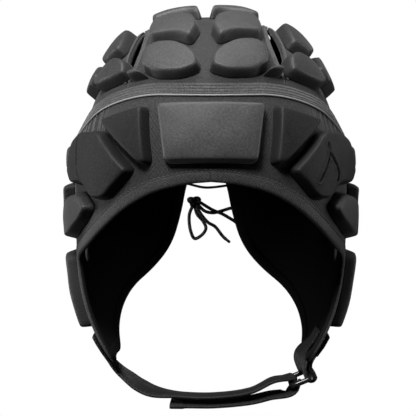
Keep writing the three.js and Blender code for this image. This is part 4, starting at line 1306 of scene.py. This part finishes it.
class SCRUMCAP_OT_lower_shell(Operator):
    """Stretch cloth from the headband down to the ear flaps, gathered under the headband"""

    bl_idname = "scrumcap.lower_shell"
    bl_label = "Lower panel"

    def execute(self, context):
        columns = context.scene.scrumcap_sizes.shell_columns
        flat, quads, used = self.cut_out(columns)
        chart = flat / CHART_SCALE
        gather = self.gather_mark(chart)
        wave = np.sin(chart[:, 0] * 2.3 + 0.8 * np.sin(chart[:, 0] * 0.31))
        surface = ring_point(chart[:, 0], chart[:, 1])
        outer = lifted(surface, wave * gather * GATHER_DEPTH)
        inner = lifted(surface, -FABRIC)
        order = np.full(len(used), -1)
        order[used] = np.arange(used.sum())
        count = int(used.sum())
        faces, linings = two_layers([tuple(face) for face in order[quads].tolist()], count)
        marks = {"gather": np.concatenate([gather[used], np.zeros(count)])}
        piece = make_piece(
            "lower_cloth", np.vstack([outer[used], inner[used]]), faces,
            np.vstack([flat[used], flat[used]]), marks, [LOOKS["panels"], LOOKS["lining"]],
            linings,
        )
        settle(piece, "shell_fabric", "lower_shell")
        return {"FINISHED"}

    def cut_out(self, columns):
        """A flat grid from the headband down, cut along the free edge and the ear holes."""
        azimuth = np.linspace(0, 360, columns, endpoint=False)
        top = band_height(signed(azimuth))[:, None]
        down = np.linspace(0, 1, SHELL_ROWS)[None]
        height = top * (1 - down) + LOWEST_ROW * down
        azimuth = np.broadcast_to(azimuth[:, None], height.shape)
        flat = np.stack([azimuth, height], -1).reshape(-1, 2) * CHART_SCALE
        edge = free_edge()
        below = np.array([[361, -5], [-1, -5]])
        outline = np.vstack([edge[:1] - [1, 0], edge, below]) * CHART_SCALE
        holes = [self.ear_loop(hand) * CHART_SCALE for hand in (1, -1)]
        keep = ~inside_line(flat, outline)
        for hole in holes:
            keep &= ~inside_line(flat, hole)
        quads = np.array(ring_faces(columns, SHELL_ROWS, closed_round=False, closed_along=True))
        quads = quads[keep[quads].sum(axis=1) >= 2]
        used = np.zeros(len(flat), bool)
        used[quads.ravel()] = True
        stray = used & ~keep
        lines = [edge * CHART_SCALE, *(np.vstack([hole, hole[:1]]) for hole in holes)]
        options = np.stack([nearest_on(flat[stray], line) for line in lines])
        far = ((options - flat[stray]) ** 2).sum(axis=-1)
        flat[stray] = options[far.argmin(axis=0), np.arange(stray.sum())]
        return flat, quads, used

    def ear_loop(self, hand):
        """An ear hole's outline by azimuth and height share."""
        wide = EAR_HOLE_SIZE[0] / 2 / RING_MM_PER_DEGREE
        tall = EAR_HOLE_SIZE[1] / 2 / FLAP_DROP
        middle = EAR_HOLE[0] if hand > 0 else 360 - EAR_HOLE[0]
        return [middle, EAR_HOLE[1]] + circle(60) * [wide, tall]

    def gather_mark(self, chart):
        """Where the headband gathers the cloth: at the sides, close under the band."""
        azimuth = signed(chart[:, 0])
        below = (band_height(azimuth) - chart[:, 1]) * GATHER_MM
        sides = soft_span(np.abs(azimuth), *GATHER_SIDES)
        return sides * soft_span(below, *GATHER_REACH)


class SCRUMCAP_OT_pads(Operator):
    """Foam pads under mesh, each with a steep wall, rounded shoulders and soft unevenness"""

    bl_idname = "scrumcap.pads"
    bl_label = "Foam pads"

    def execute(self, context):
        sizes = context.scene.scrumcap_sizes
        build_family(MIDDLE_PADS, ring_point, sizes, 100, "pads", middle_only=True)
        build_family(RING_PADS, ring_point, sizes, 200, "side_pads")
        build_family(UPPER_PADS, upper_point, sizes, 300, "upper_pads")
        build_family(CROWN_PADS, shifted_crown_point, sizes, 400, "pads")
        return {"FINISHED"}


# Headband, in millimetres and degrees
TAPE_HALF = 4.0
TAPE_RIB = 0.07
TAPE_RIB_PITCH = 2.0
# Azimuths where the headband gets its painted satin highlight, at the sides
PAINTED_SHEEN_SIDES = ((50, 66), (84, 104))
PIPING_RADIUS = 0.65


def round_steps(line):
    """Length of a closed line up to each of its points."""
    return np.cumsum(np.linalg.norm(line - np.roll(line, 1, axis=0), axis=1))


class SCRUMCAP_OT_headband(Operator):
    """Ribbed elastic headband with its thin piping"""

    bl_idname = "scrumcap.headband"
    bl_label = "Headband"

    def execute(self, context):
        azimuth = np.linspace(-180, 180, 600, endpoint=False)
        middle = band_height(azimuth)
        line = ring_point(azimuth, middle)
        up = unit(ring_point(azimuth, middle + 0.02) - line)
        normal = normal_at(line)
        across = np.linspace(-TAPE_HALF, TAPE_HALF, 25)
        ribs = TAPE_RIB * np.cos(across * 2 * np.pi / TAPE_RIB_PITCH)
        face = np.where(np.abs(across) > TAPE_HALF * 0.9, 0.7, 1.5 + ribs)
        back = np.stack([across[::-6], np.full(5, -0.4)], -1)
        profile = np.vstack([np.stack([across, face], -1), back])
        sections = stations(line, up, normal, profile)
        points, faces = sweep(sections, closed=True)
        uv = cloth_places(round_steps(line), profile[:, 0], sections.shape[:2])
        # The stretch mark places the painted satin highlight on the band's sides.
        marks = {"stretch": np.repeat(soft_span(np.abs(azimuth), *PAINTED_SHEEN_SIDES), len(profile))}
        piece = make_piece("headband_tape", points, faces, uv, marks, [LOOKS["tape"]])
        settle(piece, "trim_tape", "headband")
        self.piping(line, up, normal)
        return {"FINISHED"}

    def piping(self, line, up, normal):
        """A thin pale cord along the tape's lower edge."""
        profile = circle(8) * PIPING_RADIUS + [-TAPE_HALF - 0.25, 0.5]
        points, faces = sweep(stations(line, up, normal, profile), closed=True)
        piece = make_piece("headband_piping", points, faces, looks=[LOOKS["piping"]])
        settle(piece, "trim_tape")


# Hem: its section across the edge and outwards, and its stitches, in millimetres
HEM_PROFILE = np.array([
    [-2.0, -0.15], [-1.4, 0.3], [-0.4, 0.5], [1.2, 0.55], [3.0, 0.5], [4.2, 0.2], [5.0, -0.5],
    [5.3, -1.5], [5.0, -2.5], [4.2, -3.2], [3.0, -3.5], [1.2, -3.55], [-0.4, -3.5],
    [-1.4, -3.3], [-2.0, -2.85], [-1.6, -1.5],
])
HEM_INSIDE = -1.1
ZIGZAG_HALF = 0.75
STITCH_RADIUS = 0.24
STITCH_LIFT = 0.28
STITCH_STATIONS = [
    (0.02, -0.15, 0.45), (0.2, 0.75, 1.0), (0.5, 1.0, 1.05), (0.8, 0.75, 1.0), (0.98, -0.15, 0.45),
]


class SCRUMCAP_OT_hem(Operator):
    """Rolled hem of the free edge, with its zigzag stitches"""

    bl_idname = "scrumcap.hem"
    bl_label = "Hem and stitches"

    def execute(self, context):
        edge = free_edge()[:-1]
        line = evenly(ring_point(edge[:, 0], edge[:, 1]), 680, closed=True)
        normal = normal_at(line)
        tangent = unit(np.roll(line, -1, axis=0) - np.roll(line, 1, axis=0))
        side = unit(np.cross(tangent, normal))
        profile = chaikin(HEM_PROFILE, 1)
        sections = stations(line, side, normal, profile)
        points, faces = sweep(sections, closed=True)
        around = profile[:, 0] * 1.2 + profile[:, 1]
        uv = cloth_places(round_steps(line), around, sections.shape[:2])
        inside = np.tile(profile[:, 1] < HEM_INSIDE, len(sections))
        piece = make_piece(
            "rolled_hem", points, faces, uv, looks=[LOOKS["hem"], LOOKS["lining"]],
            look_of_face=[int(inside[face[0]]) for face in faces],
        )
        settle(piece, "trim_tape", "edge_binding")
        self.zigzag(line, side, context.scene.scrumcap_sizes)
        return {"FINISHED"}

    def zigzag(self, line, side, sizes):
        """Short raised stitches, leaning one way and then the other."""
        place = line - side * sizes.hem_stitch_place
        around = length_of(np.vstack([place, place[:1]]))
        count = int(around / (sizes.stitch_length * 0.7)) // 2 * 2
        swing = np.where(np.arange(count) % 2, ZIGZAG_HALF, -ZIGZAG_HALF)[:, None]
        sides = unit(evenly(side, count, closed=True))
        ends = evenly(place, count, closed=True) + sides * swing
        points, faces = stitches(ends, np.roll(ends, -1, axis=0))
        piece = make_piece("hem_zigzag", points, faces, looks=[LOOKS["thread"]])
        settle(piece, "trim_tape")


def stitches(starts, stops):
    """Small bent bars from start to stop, a little over the cloth in the middle."""
    middle = (starts + stops) / 2
    normal = normal_at(middle)
    across = unit(np.cross(unit(stops - starts), normal))
    rings = [
        stations(
            starts * (1 - share) + stops * share + normal * height * STITCH_LIFT, across, normal,
            circle(6) * thick * STITCH_RADIUS,
        )
        for share, height, thick in STITCH_STATIONS
    ]
    count = len(rings)
    points = np.stack(rings, 1).reshape(-1, 3)
    last = (count - 1) * 6
    one = ring_faces(count, 6) + [tuple(range(6))[::-1], tuple(range(last, last + 6))]
    faces = [tuple(6 * count * s + k for k in face) for s in range(len(starts)) for face in one]
    return points, faces


def strap_profile():
    """The strap's cross section: rounded edges and two shallow channels where it is sewn."""
    half_width = STRAP_WIDTH / 2
    across = np.linspace(-1, 1, 29) * (half_width - 0.3)
    edge = np.clip((half_width - np.abs(across)) / (STRAP_THICKNESS * 0.7), 0, 1)
    half = STRAP_THICKNESS / 2 * np.sqrt(1 - (1 - edge) ** 2)
    half -= 0.28 * np.exp(-(((np.abs(across) - SEAM_PLACE) / 0.7) ** 2))
    half += 0.12 * np.cos(across / SEAM_PLACE * np.pi / 2) ** 2
    top = np.stack([across, half], -1)
    return np.vstack([top, top[::-1] * [1, -1]])


def along_curve(points, count, across_at):
    """Stations of a strap: places, across and up."""
    line = smooth_curve(points, count)
    tangent = unit(np.gradient(line, axis=0))
    across = across_at(np.linspace(0, 1, count))
    across = unit(across - tangent * np.sum(across * tangent, axis=1, keepdims=True))
    return line, across, unit(np.cross(tangent, across))


def toward(first, second, share):
    return first + (second - first) * np.asarray(share)[:, None]


def same_way(directions):
    """Turns round each direction that points against the one before it."""
    for k in range(1, len(directions)):
        if directions[k] @ directions[k - 1] < 0:
            directions[k] *= -1
    return directions


def chin_point(row, tip):
    """A point of the strap's way, from a row of the tables."""
    across, depth, drop = row
    return [across * HALF_WIDTH, depth, tip - drop * CHIN_DROP]


class SCRUMCAP_OT_chin_strap(Operator):
    """Chin strap with its tail, the loop of moulded plastic and the tab that holds it"""

    bl_idname = "scrumcap.chin_strap"
    bl_label = "Chin strap"

    def execute(self, context):
        self.settle_places()
        self.loop()
        self.strap()
        self.tab()
        return {"FINISHED"}

    def settle_places(self):
        """The flaps' lowest level, the loop's middle and the loop's directions."""
        self.tip = BROW_LEVEL - FLAP_DROP - BINDING_SIDE
        tip_left = self.on_flap(1, -BINDING_SIDE)
        self.dir = unit(np.array([0.92, 0.02, 0.38]))
        self.mid = tip_left + [-0.072 * HALF_WIDTH, -4, 0]
        self.mid[2] = self.tip - 0.555 * CHIN_DROP
        self.across = unit(np.array([0, 1.0, 0]) - self.dir * self.dir[1])
        self.up = unit(np.cross(self.dir, self.across))

    def on_flap(self, hand, up, inside=False):
        """A place of the webbing's middle on the outside or inside of a flap."""
        outer_lift = BINDING_LIP + CLEARANCE + 0.7
        inner_lift = FABRIC + (0.3 if up > 0 else BINDING_LIP)
        lift = STRAP_THICKNESS / 2 + (inner_lift if inside else outer_lift)
        point = ring_point(hand * STRAP_AZIMUTH, -1 + up / FLAP_DROP)
        return lifted(point, -lift if inside else lift)

    def along_flap(self, hand):
        point = ring_point(hand * STRAP_AZIMUTH, -1 + STRAP_OVERLAP / FLAP_DROP / 2)
        return unit(np.cross([0, 0, hand], normal_at(point)))

    def bar(self, hand):
        return self.mid + self.dir * hand * (LOOP_LENGTH - BAR_DIAMETER) / 2

    def round_bar(self, centre, direction, first, last, count):
        """Stations of webbing round a bar of the loop, between two angles."""
        turns = np.radians(np.linspace(first, last, count))[:, None]
        outward = np.cos(turns) * direction + np.sin(turns) * self.up
        reach = BAR_DIAMETER / 2 + BAR_GAP + STRAP_THICKNESS / 2
        return centre + outward * reach, np.broadcast_to(self.across, outward.shape), outward

    def skin(self, name, node, runs, fold=0.0):
        """Webbing along joined runs of stations. The last stretch is thicker where it is folded."""
        line, across, up = (np.vstack(column) for column in zip(*runs))
        profile = strap_profile()
        steps = travelled(line)
        ends = np.ones((len(line), 1))
        ends[[0, -1]] = 0.93
        thick = ends.copy()
        if fold:
            folded = smoothstep(steps, steps[-1] - fold - 0.8, steps[-1] - fold)
            thick *= 1 + 0.35 * folded[:, None]
        sections = stations(line, same_way(across) * ends, same_way(up) * thick, profile)
        points, faces = sweep(sections)
        uv = cloth_places(steps, profile[:, 0], sections.shape[:2])
        piece = make_piece(name, points, faces, uv, looks=[LOOKS["webbing"]])
        settle(piece, "webbing", node)

    def strap(self):
        turn = self.round_bar(self.bar(-1), self.dir, 68, -80, 25)
        on_flap = [self.on_flap(-1, up) for up in (STRAP_OVERLAP, STRAP_OVERLAP / 2, -BINDING_SIDE)]
        chin = [chin_point(row, self.tip) for row in STRAP_ROUTE]
        main = along_curve([*on_flap, *chin, turn[0][0]], 150, self.strap_across)
        end = turn[0][-1]
        low = self.tip - CHIN_DROP - TAIL_DROP
        tail = [end, [end[0] - 0.035 * HALF_WIDTH, -7, self.tip - 0.95 * CHIN_DROP]]
        tail += [chin_point(row, self.tip) for row in TAIL_ROUTE]
        tail += [[across * HALF_WIDTH, depth, low] for across, depth in TAIL_END]
        level = unit(np.array([0, 1, TAIL_RISE]))
        tail = along_curve(tail, 90, lambda s: toward(self.across, level, smoothstep(s, 0, 0.5)))
        runs = [[x[:-1] for x in main], turn, [x[1:] for x in tail]]
        self.skin("chin_strap_webbing", "chin_strap", runs, fold=9.0)

    def strap_across(self, share):
        """The strap's level direction: flat on the flap, then rolled a little, then level."""
        roll = STRAP_ROLL * soft_span(share, (0.08, 0.26), (0.3, 0.5))
        chin = unit(np.stack([0 * roll, 1 + 0 * roll, roll - STRAP_DIP], -1))
        return toward(self.along_flap(-1), chin, smoothstep(share, 0.05, 0.3))

    def tab(self):
        bar = self.bar(1)
        turn = self.round_bar(bar, -self.dir, -150, 30, 28)
        flap = self.along_flap(1)
        sewn = (STRAP_OVERLAP, STRAP_OVERLAP / 2)
        outer = [self.on_flap(1, up) for up in (*sewn, -BINDING_SIDE / 2)]
        outer += [bar + [0.2, 0, 4.2], turn[0][0]]
        outer = along_curve(outer, 50, lambda s: toward(flap, self.across, s))
        inner = [self.on_flap(1, up, inside=True) for up in (-BINDING_SIDE, *sewn[::-1])]
        inner = along_curve([turn[0][-1], *inner], 60, lambda s: self.tab_across(flap, s))
        runs = [[x[:-1] for x in outer], turn, [x[1:] for x in inner]]
        self.skin("loop_tab_webbing", "buckle_tab", runs)

    def tab_across(self, flap, share):
        """The tab's inner layer twists a little between the bar and the flap."""
        twist = soft_span(share, (0, 0.16), (0.3, 0.75))
        return toward(self.across, flap, share) + twist[:, None] * [-0.28, 0, 0]

    def loop(self):
        """Rounded rectangle of a squarish rod."""
        half_long = (LOOP_LENGTH - BAR_DIAMETER) / 2
        half_wide = STRAP_WIDTH / 2 + LOOP_SIDE_GAP + BAR_DIAMETER / 2
        corners = squared(circle(160), 7) * [half_long, half_wide]
        line = evenly(self.mid + corners @ np.stack([self.dir, self.across]), 160, closed=True)
        tangent = unit(np.roll(line, -1, axis=0) - np.roll(line, 1, axis=0))
        side = unit(np.cross(tangent, self.up))
        rod = squared(circle(20), 3) * BAR_DIAMETER / 2 * [1, 0.92]
        up = np.broadcast_to(self.up, line.shape)
        points, faces = sweep(stations(line, side, up, rod), closed=True)
        piece = make_piece("moulded_loop", points, faces, looks=[LOOKS["loop"]])
        settle(piece, "loop_plastic", "buckle_loop")


def squared(round_line, power):
    """A circle pushed out towards its square. A higher power makes sharper corners."""
    reach = np.sum(np.abs(round_line) ** power, axis=1, keepdims=True) ** (-1 / power)
    return round_line * reach


# Brightness of the pads' mesh by place: painted shade, darker on the pads that turn away from the
# light
PAD_PAINTED_SHADE = {"pads": 1.0, "temple_pads": 0.36, "side_pads": 0.66, "upper_pads": 0.7}


class SCRUMCAP_OT_looks(Operator):
    """Materials of the cloths, the thread, the laces and the plastic loop"""

    bl_idname = "scrumcap.looks"
    bl_label = "Materials"

    def execute(self, context):
        colours = context.scene.scrumcap_colours
        sizes = context.scene.scrumcap_sizes
        for look, lift in PAD_PAINTED_SHADE.items():
            name = look.replace("_", " ") + " mesh"
            LOOKS[look] = mesh_cloth(name, colours.pads, sizes.mesh_pitch, lift)
        LOOKS["panels"] = shell_cloth("panel knit", colours.panels, sizes.knit_pitch)
        LOOKS["lining"] = lining_cloth("lining", colours.lining)
        # The hem is the panels' knit made paler, a painted highlight on its lit rolled edge.
        LOOKS["hem"] = shell_cloth("hem knit", scaled(colours.panels, 1.45), sizes.knit_pitch)
        LOOKS["tape"] = tape_cloth("headband elastic", colours.tape, TAPE_RIB_PITCH, 0.2)
        LOOKS["vent_tape"] = tape_cloth("vent tape", scaled(colours.tape, 0.9), 1.6, 0.0)
        LOOKS["piping"] = thread("headband piping", colours.piping)
        LOOKS["webbing"] = webbing_cloth("strap webbing", colours.webbing)
        LOOKS["laces"] = cord_braid("lace braid", colours.laces)
        LOOKS["loop"] = moulded_plastic("loop plastic", colours.loop)
        LOOKS["thread"] = thread("stitching thread", colours.thread)
        return {"FINISHED"}


OPERATORS = (
    SCRUMCAP_OT_looks,
    SCRUMCAP_OT_stage,
    SCRUMCAP_OT_laces,
    SCRUMCAP_OT_panels,
    SCRUMCAP_OT_lower_shell,
    SCRUMCAP_OT_pads,
    SCRUMCAP_OT_headband,
    SCRUMCAP_OT_hem,
    SCRUMCAP_OT_chin_strap,
)


class SCRUMCAP_PT_sidebar(Panel):
    """The cap's pieces and settings"""

    bl_idname = "SCRUMCAP_PT_sidebar"
    bl_label = "Scrum cap"
    bl_space_type = "VIEW_3D"
    bl_region_type = "UI"
    bl_category = "Scrum cap"

    def draw(self, context):
        for settings in ("scrumcap_colours", "scrumcap_sizes", "scrumcap_stage"):
            group = getattr(context.scene, settings)
            box = self.layout.box()
            for name in group.__annotations__:
                box.prop(group, name)
        for operator in OPERATORS:
            self.layout.operator(operator.bl_idname)


GROUPS = (CapColours, CapSizes, StageSettings)


def register():
    for kind in (*GROUPS, *OPERATORS, SCRUMCAP_PT_sidebar):
        bpy.utils.register_class(kind)
    bpy.types.Scene.scrumcap_colours = PointerProperty(type=CapColours)
    bpy.types.Scene.scrumcap_sizes = PointerProperty(type=CapSizes)
    bpy.types.Scene.scrumcap_stage = PointerProperty(type=StageSettings)


def unregister():
    for name in ("scrumcap_stage", "scrumcap_sizes", "scrumcap_colours"):
        delattr(bpy.types.Scene, name)
    for kind in reversed((*GROUPS, *OPERATORS, SCRUMCAP_PT_sidebar)):
        bpy.utils.unregister_class(kind)


def main():
    register()
    for operator in OPERATORS:
        family, name = operator.bl_idname.split(".")
        getattr(getattr(bpy.ops, family), name)()
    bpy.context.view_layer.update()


if __name__ == "__main__":
    main()
